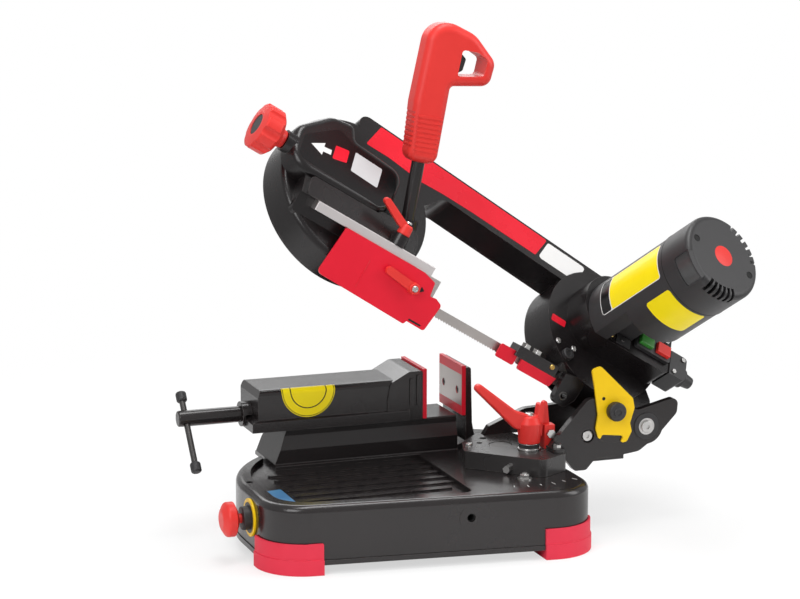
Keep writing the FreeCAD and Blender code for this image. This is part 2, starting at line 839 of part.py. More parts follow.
cheek_face = mm.front_cheek_y - mm.cheek_thickness
finish(
    "pivot_pin",
    turned(
        "pivot_pin",
        PIVOT,
        (0, 0, 0),
        [
            (0, -mm.rear_cheek_y - mm.cheek_thickness, 0),
            (mm.pivot_pin_radius, -mm.rear_cheek_y - mm.cheek_thickness, 0.5),
            (mm.pivot_pin_radius, -cheek_face, 0), (mm.pivot_head_radius, -cheek_face, 0),
            (mm.pivot_head_radius, -cheek_face + 1.5, 0), (8, -cheek_face + 1.5, 0),
            (8, -cheek_face + 5, 1), (3, -cheek_face + 5, 0), (3, -cheek_face + 3, 0),
            (0, -cheek_face + 3, 0),
        ],
        ALONG_MINUS_Y,
    ),
)


def hex_bolt(name, frame, at, turn, shank, reach, across, head):
    corners = []
    for side in range(6):
        angle = math.radians(60 * side)
        corners.append((across * math.cos(angle), across * math.sin(angle), 0))
    head_solid = plate(name + "_head", frame, at, corners, str(head), turn)
    shank_solid = doc.addObject("Part::Cylinder", name + "_shank")
    bind(shank_solid, Radius=str(shank), Height=str(reach + 1))
    shank_solid.Placement = head_solid.Placement * Placement(Vector(0, 0, -reach), UP)
    return fuse(name, head_solid, shank_solid)


boss_screw = turned(
    "boss_screw",
    WORLD,
    (235, cheek_face, 125),
    [(0, -10, 0), (3, -10, 0), (3, -5, 0), (7, -5, 0), (7, -0.6, 1), (2.5, -0.6, 0), (2.5, -2.5, 0), (0,
            -2.5, 0)],
    ALONG_MINUS_Y,
)
stop_direction = Rotation(Vector(0, 0, 1), Vector(-80, -78, 0))
finish(
    "table_bolts",
    group(
        "table_bolts",
        boss_screw,
        hex_bolt("latch_bolt", WORLD, (187.5, -61, 130), ALONG_MINUS_Y, 3, 0, 6, 5),
        hex_bolt("foot_bolt", WORLD, (188, -84, table_top + 6), UP, 3, 0, 5.5, 4.5),
        hex_bolt("stop_bolt", WORLD, (122, -81.13, 94), stop_direction, 3, 0, 5, 9),
        hex_bolt("rear_bolt", WORLD, (156, 42, 118), Rotation(Vector(1, 0, 0), -90), 3, 0, 5, 4.5),
    ),
)

# Bow casting: two drums joined by the arm, the raised oval, guide seat, handle boss and pivot barrel.
idler_x = -mm.idler_s
drive_x = -mm.drive_s
axis_u = mm.wheel_radius
ARM = [(-500, 213.6, 14), (-66, 178.2, 12), (-100, 133.6, 4), (-350, 155, 25), (-385, 118, 4), (-470,
        118, 4)]
OVAL = [
    (-592, 52, 34), (-440, 52, 34), (-428, 131, 20), (-506, 139, 6), (-512, 162, 10), (-548, 156, 26),
    (-592, 112, 26),
]
OVAL_ROOM = [(-580, 57.5, 16), (-446, 57.5, 16), (-446, 118.5, 16), (-580, 118.5, 16)]
idler_drum = cylinder("idler_drum", LOOP, (idler_x, axis_u, -mm.bow_back), "idler_drum",
                      "bow_back + idler_front")
idler_soft = rounded_edges(
    "idler_soft", idler_drum, 7,
    lambda edge: LOOP.inverse().multVec(edge.CenterOfMass).z > mm.idler_front - 0.01,
)
drive_drum = cylinder("drive_drum", LOOP, (drive_x, axis_u, -mm.bow_back), "drive_drum",
                      "bow_back + drive_front")
arm_block = plate("arm_block", LOOP, (0, 0, -mm.bow_back), ARM, "bow_back + idler_front")
oval_block = plate("oval_block", LOOP, (0, 0, mm.idler_front - 2), OVAL, "oval_height + 2")
oval_soft = rounded_edges(
    "oval_soft", oval_block, 9,
    lambda edge: LOOP.inverse().multVec(edge.CenterOfMass).z > mm.idler_front + mm.oval_height - 0.01,
)
seat_block = plate(
    "seat_block", LOOP, (0, 0, mm.idler_front - mm.drum_wall),
    [(-562, 8, 6), (-388, 8, 6), (-388, 62, 12), (-562, 62, 12)], "27",
)
seat_step = plate(
    "seat_step", LOOP, (0, 0, mm.idler_front - mm.drum_wall),
    [(-556, 20, 6), (-394, 20, 6), (-394, 52, 8), (-556, 52, 8)], "32",
)
BAR_Y = -52
BAR_Z = 30
seat_rabbet = box("seat_rabbet", BOW, (-640, -120, -40), "300", "120 - 52 + bar_depth + running_gap",
                  "40 + 30 + bar_height + running_gap")
clamp_nose = cylinder("clamp_nose", BOW, (-418, -43, BAR_Z + mm.bar_height + 0.2),
                      "clamp_hub_radius + 2", "15")
clamp_bore = cylinder("clamp_bore", BOW, (-418, -43, 30), "4 + running_gap", "60")
HANDLE = BOW * Placement(Vector(-404, 0, 77), Rotation(Vector(0, 1, 0), -20.41))
handle_boss = cylinder("handle_boss", HANDLE, (0, 0, -24), "tube_radius + 5.5", "26")
handle_socket = cylinder("handle_socket", HANDLE, (0, 0, -18), "tube_radius", "40")
drive_web = plate(
    "drive_web", LOOP, (0, 0, -mm.bow_back),
    [(17, -4, 8), (17, 30, 8), (-16, 80, 8), (-76, 62, 4), (-58, -4, 8)], "bow_back + 24",
)
guide_lug = box("guide_lug", BOW, (-131, -34, 2), "40", "26", "16")
low_lug_blank = plate(
    "low_lug_blank", BOW, (0, -33, 0),
    [(-124, 8, 2), (-92, 14, 2), (-94, -18, 6), (-104, -32, 8), (-124, -32, 9)], "11", ALONG_MINUS_Y,
)
low_lug_hole = cylinder("low_lug_hole", BOW, (-112, -30, -19), "lug_hole", "20", ALONG_MINUS_Y)
low_lug = cut("low_lug", low_lug_blank, low_lug_hole)
casting_outside = fuse(
    "casting_outside", idler_soft, drive_drum, arm_block, oval_soft,
    cut("seat_cut", fuse("seat_whole", seat_block, seat_step), seat_rabbet), clamp_nose, drive_web,
    guide_lug,
)
idler_room = cylinder("idler_room", LOOP, (idler_x, axis_u, -mm.bow_back - 1), "idler_cavity",
                      "bow_back + 1 + idler_front - drum_wall")
drive_room = cylinder("drive_room", LOOP, (drive_x, axis_u, -mm.bow_back - 1), "drive_cavity",
                      "bow_back + 1 + drive_front - drum_wall")
arm_room = plate(
    "arm_room", LOOP, (0, 0, -mm.bow_back - 1),
    [(-490, 206, 4), (-76, 172.7, 4), (-100, 141, 4), (-440, 160, 4)],
    "bow_back + 1 + idler_front - drum_wall",
)
oval_room = plate("oval_room", LOOP, (0, 0, mm.idler_front), OVAL_ROOM, "oval_height - oval_wall")
axle_slot = plate(
    "axle_slot", LOOP, (0, 0, mm.idler_front - 10),
    [(idler_x - 9, axis_u - 9, 8.99), (idler_x + 17, axis_u - 9, 8.99), (idler_x + 17, axis_u + 9, 8.99),
     (idler_x - 9, axis_u + 9, 8.99)], "20",
)
idler_gate = box("idler_gate", LOOP, (-428, -9, -mm.bow_back - 1), "40", "18", "bow_back + 1 + 19")
drive_gate = box("drive_gate", LOOP, (-140, -9, -mm.bow_back - 1), "48", "18", "bow_back + 1 + 19")
casting_hollow = cut("casting_hollow", casting_outside, idler_room, drive_room, arm_room, oval_room,
                     axle_slot,
                     idler_gate, drive_gate)
barrel = cylinder("barrel", BOW, (0, mm.rear_cheek_y - 0.3, 0), "barrel_radius",
                  "rear_cheek_y - front_cheek_y - 0.6", ALONG_MINUS_Y)
knob_boss = cylinder("knob_boss", BOW, (-54, -40, -3), "11", "22", ALONG_MINUS_Y)
knob_stud = cylinder("knob_stud", BOW, (-54, -50, -3), "knob_stud_radius", "39", ALONG_MINUS_Y)
shaft_boss = cylinder("shaft_boss", LOOP, (drive_x, axis_u, 12), "16", "18")
tension_boss = cylinder("tension_boss", LOOP, (-600, mm.tension_u, mm.tension_n), "tension_boss_radius",
                        "22", TOWARD_X)
barrel_bore = cylinder("barrel_bore", BOW, (0, 60, 0), "pivot_pin_radius + running_gap", "150",
                       ALONG_MINUS_Y)
shaft_bore = cylinder("shaft_bore", LOOP, (drive_x, axis_u, 0), "shaft_radius + running_gap", "60")
tension_bore = cylinder("tension_bore", LOOP, (-610, mm.tension_u, mm.tension_n),
                        "tension_screw_radius + running_gap",
                        "50", TOWARD_X)
counter_x = drive_x + mm.gear_module * (mm.output_teeth + mm.counter_pinion_teeth) / 2
counter_seat = cylinder("counter_seat", LOOP, (counter_x, axis_u, 26),
                        "counter_shaft_radius + running_gap", "10")
casting_bossed = fuse("casting_bossed", casting_hollow, barrel, knob_boss, knob_stud, shaft_boss,
                      tension_boss, handle_boss, low_lug)
finish("bow_casting", cut("bow_casting", casting_bossed, barrel_bore, shaft_bore, tension_bore,
                          counter_seat,
                          clamp_bore, handle_socket))

# Rear cover that closes the back of both drums and the arm.
cover_level = -mm.bow_back - mm.cover_thickness
cover_whole = fuse(
    "cover_whole",
    cylinder("cover_idler", LOOP, (idler_x, axis_u, cover_level), "idler_drum", "cover_thickness"),
    cylinder("cover_drive", LOOP, (drive_x, axis_u, cover_level), "drive_drum", "cover_thickness"),
    plate("cover_arm", LOOP, (0, 0, cover_level), ARM, "cover_thickness"),
)
cover_relief = cylinder("cover_relief", BOW, (0, 60, 0), "barrel_radius + 1", "150", ALONG_MINUS_Y)
finish("rear_cover", cut("rear_cover", cover_whole, cover_relief))

# Blade: wheel arcs, return strand, two twists and a toothed upright strand between the guides.
half_band = mm.blade_thickness / 2
twist_left = -464
straight_left = -412
straight_right = -176


def blade_arc(name, centre_x, start):
    outer = cylinder(name + "_outer", LOOP, (centre_x, axis_u, -mm.blade_width / 2),
                     "wheel_radius + blade_thickness / 2", "blade_width", Rotation(Vector(0, 0, 1), start))
    outer.Angle = 180
    inner = cylinder(name + "_inner", LOOP, (centre_x, axis_u, -mm.blade_width),
                     "wheel_radius - blade_thickness / 2", "blade_width * 2")
    return cut(name, outer, inner)


def blade_twist(name, first_x, first_turn, last_x, last_turn):
    sections = []
    for step in range(7):
        share = step / 6
        turn = math.radians(first_turn + (last_turn - first_turn) * share)
        centre = Vector(first_x + (last_x - first_x) * share, -mm.blade_front, -mm.strand_drop)
        wide = Vector(0, -math.sin(turn), math.cos(turn)) * (mm.blade_width / 2)
        thin = Vector(0, math.cos(turn), math.sin(turn)) * half_band
        corners = [centre + wide + thin, centre - wide + thin, centre - wide - thin, centre + wide - thin]
        sections.append(Part.makePolygon(corners + corners[:1]))
    band = doc.addObject("Part::Feature", name)
    band.Shape = Part.makeLoft(sections, True, True)
    band.Placement = BOW
    return band


edge_low = -mm.strand_drop - mm.blade_width / 2
edge_high = -mm.strand_drop + mm.blade_width / 2
strand = [(straight_right, edge_low, 0), (straight_right, edge_high, 0), (straight_left, edge_high, 0),
          (straight_left, edge_low, 0)]
tooth_start = -350
tooth_count = int((straight_right - 6 - tooth_start) / mm.tooth_pitch)
for tooth in range(tooth_count):
    left = tooth_start + tooth * mm.tooth_pitch
    strand.append((left, edge_low, 0))
    strand.append((left + 0.4, edge_low + mm.tooth_depth, 0))
    strand.append((left + mm.tooth_pitch * 0.9, edge_low, 0))
cutting_strand = plate("cutting_strand", BOW, (0, -mm.blade_front + half_band, 0), strand,
                       "blade_thickness", ALONG_MINUS_Y)
idler_run = box("idler_run", LOOP, (idler_x, -half_band, -mm.blade_width / 2), "idler_s - 464",
                "blade_thickness", "blade_width")
return_strand = box("return_strand", LOOP, (idler_x, 2 * axis_u - half_band, -mm.blade_width / 2),
                    "idler_s - drive_s", "blade_thickness", "blade_width")
loop_turn = 90 - mm.bow_tilt
finish(
    "blade",
    fuse(
        "blade", blade_arc("idler_arc", idler_x, 90), blade_arc("drive_arc", drive_x, -90), return_strand,
        cutting_strand, idler_run, blade_twist("left_twist", twist_left, loop_turn, straight_left, 0),
        blade_twist("right_twist", straight_right, 0, drive_x, loop_turn),
    ),
)

# Wheels: the idler turns on the tension carriage, the drive wheel sits on the output shaft.
drum_radius = mm.wheel_radius - half_band - mm.blade_gap


def wheel(name, centre_x, bore):
    half = mm.wheel_width / 2
    rim = drum_radius - mm.rim_thickness
    return turned(
        name, LOOP, (centre_x, axis_u, 0),
        [
            (bore, -11, 0), (mm.hub_radius, -11, 1), (mm.hub_radius, -mm.wheel_web / 2, 3), (rim,
                    -mm.wheel_web / 2, 3),
            (rim, -half, 0), (drum_radius, -half, 0.5), (drum_radius, half, 0.5), (rim, half, 0),
            (rim, mm.wheel_web / 2, 3), (mm.hub_radius, mm.wheel_web / 2, 3), (mm.hub_radius, 11, 1),
            (bore, 11, 0),
        ],
    )


finish("idler_wheel", wheel("idler_wheel", idler_x, mm.axle_radius + mm.running_gap))
finish("drive_wheel", wheel("drive_wheel", drive_x, mm.shaft_radius))
carriage_block = plate(
    "carriage_block", LOOP, (0, 0, mm.idler_front + 0.4),
    [(idler_x - 40, mm.tension_u - 26, 5), (idler_x + 14, mm.tension_u - 26, 5), (idler_x + 14,
            mm.tension_u + 26, 5),
     (idler_x - 40, mm.tension_u + 26, 5)], "23",
)
carriage_axle = turned(
    "carriage_axle", LOOP, (idler_x, axis_u, 0),
    [(0, -15.5, 0), (11.5, -15.5, 1), (11.5, -11.3, 0), (mm.axle_radius, -11.3, 0), (mm.axle_radius, 27,
            0), (0, 27, 0)],
)
carriage_bore = cylinder("carriage_bore", LOOP, (-560, mm.tension_u, mm.tension_n),
                         "tension_screw_radius + running_gap",
                         "90", TOWARD_X)
finish("idler_carriage", cut("idler_carriage", fuse("carriage_whole", carriage_block, carriage_axle),
                             carriage_bore))
TENSION = LOOP * Placement(Vector(0, mm.tension_u, mm.tension_n), Rotation(Vector(0, 1, 0), -90))
knob_turned = turned(
    "knob_turned", TENSION, (0, 0, 0),
    [
        (0, 482, 0), (mm.tension_screw_radius, 482, 0.5), (mm.tension_screw_radius, 600.3, 0),
        (mm.tension_neck_radius - 2, 600.3, 1), (mm.tension_neck_radius, 608, 2), (24, 612, 2),
        (mm.tension_knob_radius, 618, 3), (mm.tension_knob_radius, 639, 3), (mm.tension_cap_radius + 3,
                641, 1),
        (mm.tension_cap_radius, 641, 0), (mm.tension_cap_radius, 638, 0), (0, 638, 0),
    ],
)
flutes = []
for number in range(8):
    angle = math.radians(45 * number)
    flutes.append(cylinder(f"flute_{number}", TENSION, (36 * math.cos(angle), 36 * math.sin(angle),
                                                        610), "8.5", "40"))
finish("tension_knob", cut("tension_knob", knob_turned, *flutes))
finish("tension_cap", turned("tension_cap", TENSION, (0, 0, 0),
                             [(0, 638, 0), (mm.tension_cap_radius, 638, 0), (mm.tension_cap_radius,
                                     640.5, 1), (0, 640.5, 0)]))

# Gear case on the drive drum, with the two-stage reduction inside.
case_floor = mm.drive_front
case_block = plate(
    "case_block", LOOP, (0, 0, case_floor),
    [(7, 45, 8), (-138, 45, 45), (-138, 148, 50), (7, 148, 20)], "gear_case_top - drive_front",
)
case_room = plate(
    "case_room", LOOP, (0, 0, case_floor - 1),
    [(0, 51, 4), (-130, 51, 40), (-130, 141, 44), (0, 141, 14)],
    "gear_case_top - drive_front - gear_case_wall + 1",
)
case_bore = cylinder("case_bore", LOOP, (drive_x, axis_u, 40), "motor_shaft_radius + running_gap", "60")
case_seat = cylinder("case_seat", LOOP, (counter_x, axis_u, 50), "counter_shaft_radius + running_gap", "17")
finish("gear_case", cut("gear_case", case_block, case_room, case_bore, case_seat))
output_bar = cylinder("output_bar", LOOP, (drive_x, axis_u, -13), "shaft_radius", "58")
output_flange = cylinder("output_flange", LOOP, (drive_x, axis_u, -15), "13", "4")
output_gear = gear("output_gear", LOOP, (drive_x, axis_u, 33), mm.output_teeth, "gear_width", 0)
finish("output_shaft", fuse("output_whole", output_bar, output_flange, output_gear))
counter_shaft = cylinder("counter_shaft_bar", LOOP, (counter_x, axis_u, 26.5), "counter_shaft_radius", "40")
counter_pinion = gear("counter_pinion", LOOP, (counter_x, axis_u, 33), mm.counter_pinion_teeth,
                      "gear_width + 4",
                      180 + 180 / mm.counter_pinion_teeth)
counter_gear = gear("counter_gear", LOOP, (counter_x, axis_u, 49), mm.counter_gear_teeth, "gear_width",
                    180 + 180 / mm.counter_gear_teeth)
finish("counter_shaft", fuse("counter_whole", counter_shaft, counter_pinion, counter_gear))
rotor_shaft = cylinder("rotor_shaft", LOOP, (drive_x, axis_u, 47), "motor_shaft_radius", "203")
rotor_pinion = gear("rotor_pinion", LOOP, (drive_x, axis_u, 48.5), mm.motor_pinion_teeth,
                    "gear_width + 1", 0)
rotor_stack = cylinder("rotor_stack", LOOP, (drive_x, axis_u, mm.motor_floor + 5), "rotor_radius",
                       "stack_length + 4")
finish("motor_rotor", fuse("rotor_whole", rotor_shaft, rotor_pinion, rotor_stack))

# Motor: ribbed body with a notch over the switch, stator, end cap and red end disc.
motor_body = cylinder("motor_body", LOOP, (drive_x, axis_u, mm.gear_case_top), "motor_radius",
                      "motor_seam - gear_case_top")
notch_left = box("notch_left", LOOP, (-140, -10, mm.gear_case_top - 1), "90", "54",
                 "notch_top - gear_case_top + 1")
notch_middle = box("notch_middle", LOOP, (-97, -10, mm.gear_case_top - 1), "45", "74",
                   "notch_top - gear_case_top + 1")
notch_right = box("notch_right", LOOP, (-58, -10, mm.gear_case_top - 1), "100", "98",
                  "notch_top - gear_case_top + 1")
motor_room = cylinder("motor_room", LOOP, (drive_x, axis_u, mm.motor_floor), "motor_bore", "120")
motor_shaft_way = cylinder("motor_shaft_way", LOOP, (drive_x, axis_u, 60), "motor_shaft_radius + 1", "90")
finish("motor_housing", cut("motor_housing", motor_body, notch_left, notch_middle, notch_right,
                            motor_room, motor_shaft_way))
stator_ring = cylinder("stator_ring", LOOP, (drive_x, axis_u, mm.motor_floor + 7), "motor_bore",
                       "stack_length")
stator_hole = cylinder("stator_hole", LOOP, (drive_x, axis_u, mm.motor_floor), "stator_bore",
                       "stack_length + 20")
finish("motor_stator", cut("motor_stator", stator_ring, stator_hole))
cap_ceiling = mm.motor_end - mm.cap_thickness
cap_solid = turned(
    "cap_solid", LOOP, (drive_x, axis_u, 0),
    [
        (0, 246, 0), (mm.motor_shaft_radius + mm.running_gap, 246, 0),
        (mm.motor_shaft_radius + mm.running_gap, 236, 0),
        (11, 236, 0), (11, cap_ceiling, 0), (mm.motor_bore, cap_ceiling, 3), (mm.motor_bore,
                mm.motor_seam, 0),
        (mm.motor_radius + 0.8, mm.motor_seam, 0), (mm.motor_radius + 0.8, mm.motor_end, mm.cap_round),
        (mm.disc_radius, mm.motor_end, 0), (mm.disc_radius, mm.motor_end - mm.disc_thickness, 0),
        (0, mm.motor_end - mm.disc_thickness, 0),
    ],
)
cap_shaft_way = cylinder("cap_shaft_way", LOOP, (drive_x, axis_u, 220),
                         "motor_shaft_radius + running_gap", "32")
vents = []
for number, angle in enumerate((20, 32, 44, 56, 68, 80, -106, -98, -90, -82, -74, -66)):
    turn = Rotation(Vector(0, 0, 1), angle)
    vent = box(f"vent_{number}", LOOP, (0, 0, 0), "30", "vent_width", "motor_end - vent_foot + 2")
    vent.Placement = LOOP * Placement(Vector(drive_x, axis_u, mm.vent_foot),
                                      turn) * Placement(Vector(46, -mm.vent_width / 2, 0), UP)
    vents.append(vent)
finish("motor_cap", cut("motor_cap", cap_solid, cap_shaft_way, *vents))
finish("motor_disc", cylinder("motor_disc", LOOP, (drive_x, axis_u, mm.motor_end - mm.disc_thickness),
                              "disc_radius", "disc_thickness"))

# Switch on the gear case ledge: a frame with start and stop buttons.
switch_level = mm.gear_case_top
switch_frame = plate("switch_frame", LOOP, (0, 0, switch_level), [(-53, 58, 3), (3, 58, 3), (3, 84, 3),
        (-53, 84, 3)], "6")
BUTTONS = {"start_button": -39, "stop_button": -11}
button_u = 71
button_wells = []
for name, centre in BUTTONS.items():
    button_wells.append(
        box(name + "_well", LOOP, (centre - mm.button_length / 2 - mm.button_gap,
                                   button_u - mm.button_width / 2 - mm.button_gap,
                                   switch_level + 1), "button_length + 2 * button_gap",
                                   "button_width + 2 * button_gap", "10")
    )
finish("switch_box", cut("switch_box", switch_frame, *button_wells))
for name, centre in BUTTONS.items():
    key = box(name + "_key", LOOP, (centre - mm.button_length / 2, button_u - mm.button_width / 2,
                                    switch_level + 4),
              "button_length", "button_width", "button_height - 1.5")
    finish(name, key)

# Mains inlet box with its cable gland on the right of the gear case.
inlet_solid = plate("inlet_solid", LOOP, (0, 0, 36), [(7, 47, 0), (34, 47, 5), (34, 84, 5), (7, 84, 0)],
                    "36")
finish("inlet_box", inlet_solid)
gland_solid = turned(
    "gland_solid", LOOP, (34, 65, 54),
    [(0, 0, 0), (13, 0, 1), (13, 7, 1), (mm.gland_radius, 8, 0), (mm.gland_radius - 2, 22, 1.5), (0, 22,
            0)], TOWARD_X,
)
gland_hole = cylinder("gland_hole", LOOP, (40, 65, 54), "4", "40", TOWARD_X)
finish("cable_gland", cut("cable_gland", gland_solid, gland_hole))

# Right blade guide: bracket against the drum, two hardened pads and two red covers.
guide_block = box("guide_block", BOW, (-196, -34, 2), "65", "26", "9")
guide_cheek = box("guide_cheek", BOW, (-196, -34, -4), "65", "5", "8")
drum_relief = cylinder("drum_relief", LOOP, (drive_x, axis_u, -40), "drive_drum", "100")
finish("right_guide_bracket", cut("right_guide_bracket", fuse("guide_whole", guide_block, guide_cheek),
                                  drum_relief))
pad_rear = box("pad_rear", BOW, (-194, -mm.blade_front + half_band + 0.3, -11), "16", "5", "13")
pad_front = box("pad_front", BOW, (-194, -mm.blade_front - half_band - 0.3 - 5, -11), "16", "5", "13")
finish("right_guide_pads", group("right_guide_pads", pad_rear, pad_front))
cover_left = plate("cover_left", BOW, (0, -26, 0), [(-218, -17, 3), (-190, -17, 3), (-190, 2, 0), (-218,
        2, 3)], "3", ALONG_MINUS_Y)
cover_low = plate("cover_low", BOW, (0, -29, 0), [(-184, -18, 3), (-132, -18, 3), (-128, -4, 0), (-184,
        -4, 0)], "5", ALONG_MINUS_Y)
finish("right_guide_covers", group("right_guide_covers", cover_left, cover_low))
guide_nuts = [hex_bolt(f"guide_nut_{number}", BOW, (place, -21, 11), UP, 3, 0, 6.5, 6) for number,
              place in enumerate((-182, -164))]

# Left blade guide on its sliding bar, with the red guard and the two clamp levers.
finish("guide_bar", box("guide_bar", BOW, (-540, BAR_Y, BAR_Z), "guide_bar_length", "bar_depth",
                        "bar_height"))
guard_front = plate(
    "guard_front", BOW, (0, BAR_Y - 2, 0),
    [
        (-493, BAR_Z, 4), (-499, -36, 6), (-364, -39.6, 3), (-362, -34.5, 1), (-335, -35, 4), (-330, 4,
                5), (-341, 8.4, 2),
        (-350, 7, 2), (-353, 25, 2), (-372, BAR_Z, 3),
    ],
    "guard_thickness", ALONG_MINUS_Y,
)
guard_top = box("guard_top", BOW, (-488, BAR_Y - 4, BAR_Z - 3), "102", "18", "3")
guard_bottom = box("guard_bottom", BOW, (-488, BAR_Y - 4, -36.5), "120", "12", "3")
guard_stud = cylinder("guard_stud", BOW, (-377, BAR_Y - 4, 5.5), "3", "8.5", ALONG_MINUS_Y)
finish("blade_guard", fuse("blade_guard", guard_front, guard_top, guard_bottom, guard_stud))
arm_front = box("arm_front", BOW, (-384, BAR_Y - 2, 3), "39", "18", "27")
arm_rear = box("arm_rear", BOW, (-362, BAR_Y + 15, 3), "17", "27", "15")
finger_front = box("finger_front", BOW, (-362, -mm.blade_front - half_band - 0.3 - 7, -12), "17", "7", "16")
finger_rear = box("finger_rear", BOW, (-362, -mm.blade_front + half_band + 0.3, -12), "17", "7", "16")
finish("left_guide", fuse("left_guide", arm_front, arm_rear, finger_front, finger_rear))


def lever(name, frame, hub, hub_height, arm, width):
    hub_solid = turned(
        name + "_hub", frame, (0, 0, 0),
        [(0, 0, 0), (hub, 0, 1), (hub - 1, hub_height - 2, 1.5), (hub - 3, hub_height, 1), (0,
                hub_height, 0)],
    )
    arm_solid = plate(name + "_arm", frame, (0, width / 2, 0), arm, str(width), ALONG_MINUS_Y)
    return fuse(name + "_body", hub_solid, arm_solid)


CLAMP = BOW * Placement(Vector(-418, -43, BAR_Z + mm.bar_height + 15.5), UP)
clamp_body = lever("clamp", CLAMP, mm.clamp_hub_radius, 14, [(0, 5, 1), (2, 13, 1), (-10, 18, 5), (-43,
        33, 4), (-45, 25, 4), (-12, 8, 8)], 9)
clamp_stud = cylinder("clamp_stud", CLAMP, (0, 0, -15.2), "4", "18")
finish("clamp_lever", fuse("clamp_lever", clamp_body, clamp_stud))
GUARD = BOW * Placement(Vector(-377, BAR_Y - 5.3, 5.5), Rotation(Vector(1, 0, 0), 90))
guard_hub = turned("guard_hub", GUARD, (0, 0, 0), [(0, 0, 0), (mm.guard_hub_radius, 0, 0.5),
                                                   (mm.guard_hub_radius - 1, 10, 1), (0, 10, 0)])
guard_arm = plate("guard_arm", GUARD, (0, 0, 2), [(2, -6, 2), (2, 6, 2), (-42, 10, 4), (-46, 6, 3),
                                                  (-44, 0, 4)], "6")
guard_eye = cylinder("guard_eye", GUARD, (0, 0, -1), "3 + running_gap", "8.8")
finish("guard_lever", cut("guard_lever", fuse("guard_lever_whole", guard_hub, guard_arm), guard_eye))

# Handle: tube, red closed grip with a finger loop, and its trigger.
finish("handle_tube", cylinder("handle_tube", HANDLE, (0, 0, -18), "tube_radius", "tube_length"))
grip_solid = plate(
    "grip_solid", HANDLE, (0, 19, 0),
    [
        (-20, 78, 13), (20, 76, 13), (20, 178, 6), (72, 186, 14), (75, 217, 16), (42, 247, 40), (8, 257,
                30),
        (-22, 252, 26), (-25, 152, 60),
    ],
    "38", ALONG_MINUS_Y,
)
grip_soft = rounded_edges(
    "grip_soft", grip_solid, mm.grip_round,
    lambda edge: abs(edge.BoundBox.YMax - edge.BoundBox.YMin) < 0.01,
)
grip_loop = plate("grip_loop", HANDLE, (0, 30, 0), [(24, 192, 3), (60, 197, 6), (61, 219, 6), (46, 226,
        5), (25, 226, 4)], "60", ALONG_MINUS_Y)
grip_hole = cylinder("grip_hole", HANDLE, (0, 0, 60), "tube_radius", "40")
trigger_well = box("trigger_well", HANDLE, (4, -mm.trigger_width / 2 - mm.trigger_gap, 194), "24",
                   "trigger_width + 2 * trigger_gap", "28")
grip_grooves = []
for number in range(8):
    groove_z = 95 + 6 * number
    groove_left = -20 - 5 * (groove_z - 78) / 74
    grip_grooves.append(
        box(f"grip_groove_{number}", HANDLE, (groove_left - 10, -25, groove_z), "10 + groove_depth",
            "50", "groove_width")
    )
finish("handle_grip", cut("handle_grip", grip_soft, grip_loop, grip_hole, trigger_well, *grip_grooves))
finish(
    "trigger",
    plate("trigger", HANDLE, (0, mm.trigger_width / 2, 0), [(10, 196, 2), (28, 196, 2), (34, 200, 4),
            (36, 215, 3), (30, 220, 4), (10, 220, 2)],
          "trigger_width", ALONG_MINUS_Y),
)

# Yellow lock plate and its knob in front of the support, on the bow's stud.
YELLOW = BOW * Placement(Vector(-54, cheek_face - 1, -3), Rotation(Vector(1, 0, 0), 90))
lock_outline = plate(
    "lock_outline", YELLOW, (0, 0, 0),
    [
        (-57, 31, 5), (-48, 41, 5), (15, 26, 5), (24, 16, 6), (29, -4, 4), (37, -12, 4), (38, -27, 4),
        (30.5, -33, 2), (30.5, -22, 3),
        (2, -35, 3), (2.3, -44, 2), (-10, -33, 4), (-17, -16, 8), (-41, 13, 6),
    ],
    "plate_thickness",
)
lock_eye = cylinder("lock_eye", YELLOW, (0, 0, -1), "knob_stud_radius + running_gap", "10")
finish("lock_plate", cut("lock_plate", lock_outline, lock_eye))
knob_body = turned("knob_body", YELLOW, (0, 0, mm.plate_thickness + 0.3),
                   [(0, 0, 0), (mm.lock_knob_radius, 0, 1), (mm.lock_knob_radius,
                           mm.lock_knob_length - 2, 2), (0, mm.lock_knob_length, 0)])
knob_well = cylinder("knob_well", YELLOW, (0, 0, 0), "knob_stud_radius + running_gap", "15")
finish("lock_knob", cut("lock_knob", knob_body, knob_well))

# Screws that show on the casting, gear case and inlet.
case_screws = [
    hex_bolt(f"case_screw_{number}", LOOP, (x, u, mm.gear_case_top), UP, 2, 0, 4, 3)
    for number, (x, u) in enumerate(((-2, 138), (-2, 94)))
]
inlet_screws = [
    hex_bolt(f"inlet_screw_{number}", LOOP, (x, u, 72), UP, 2, 0, 3.5, 2.5) for number, (x,
            u) in enumerate(((14, 53), (27, 78)))
]
finish("bow_screws", group("bow_screws", *case_screws, *inlet_screws, *guide_nuts))

doc.recompute()
for feature in doc.Objects:
    assert "Invalid" not in feature.State and "Error" not in feature.State, feature.Name
for feature in parts:
    assert not feature.Shape.isNull() and feature.Shape.isValid(), feature.Label
    feature.Shape.exportStep(f"parts/{feature.Label}.step")
print(len(parts), "parts written")
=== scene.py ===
import math

import bmesh
import bpy
from mathutils import Matrix, Vector


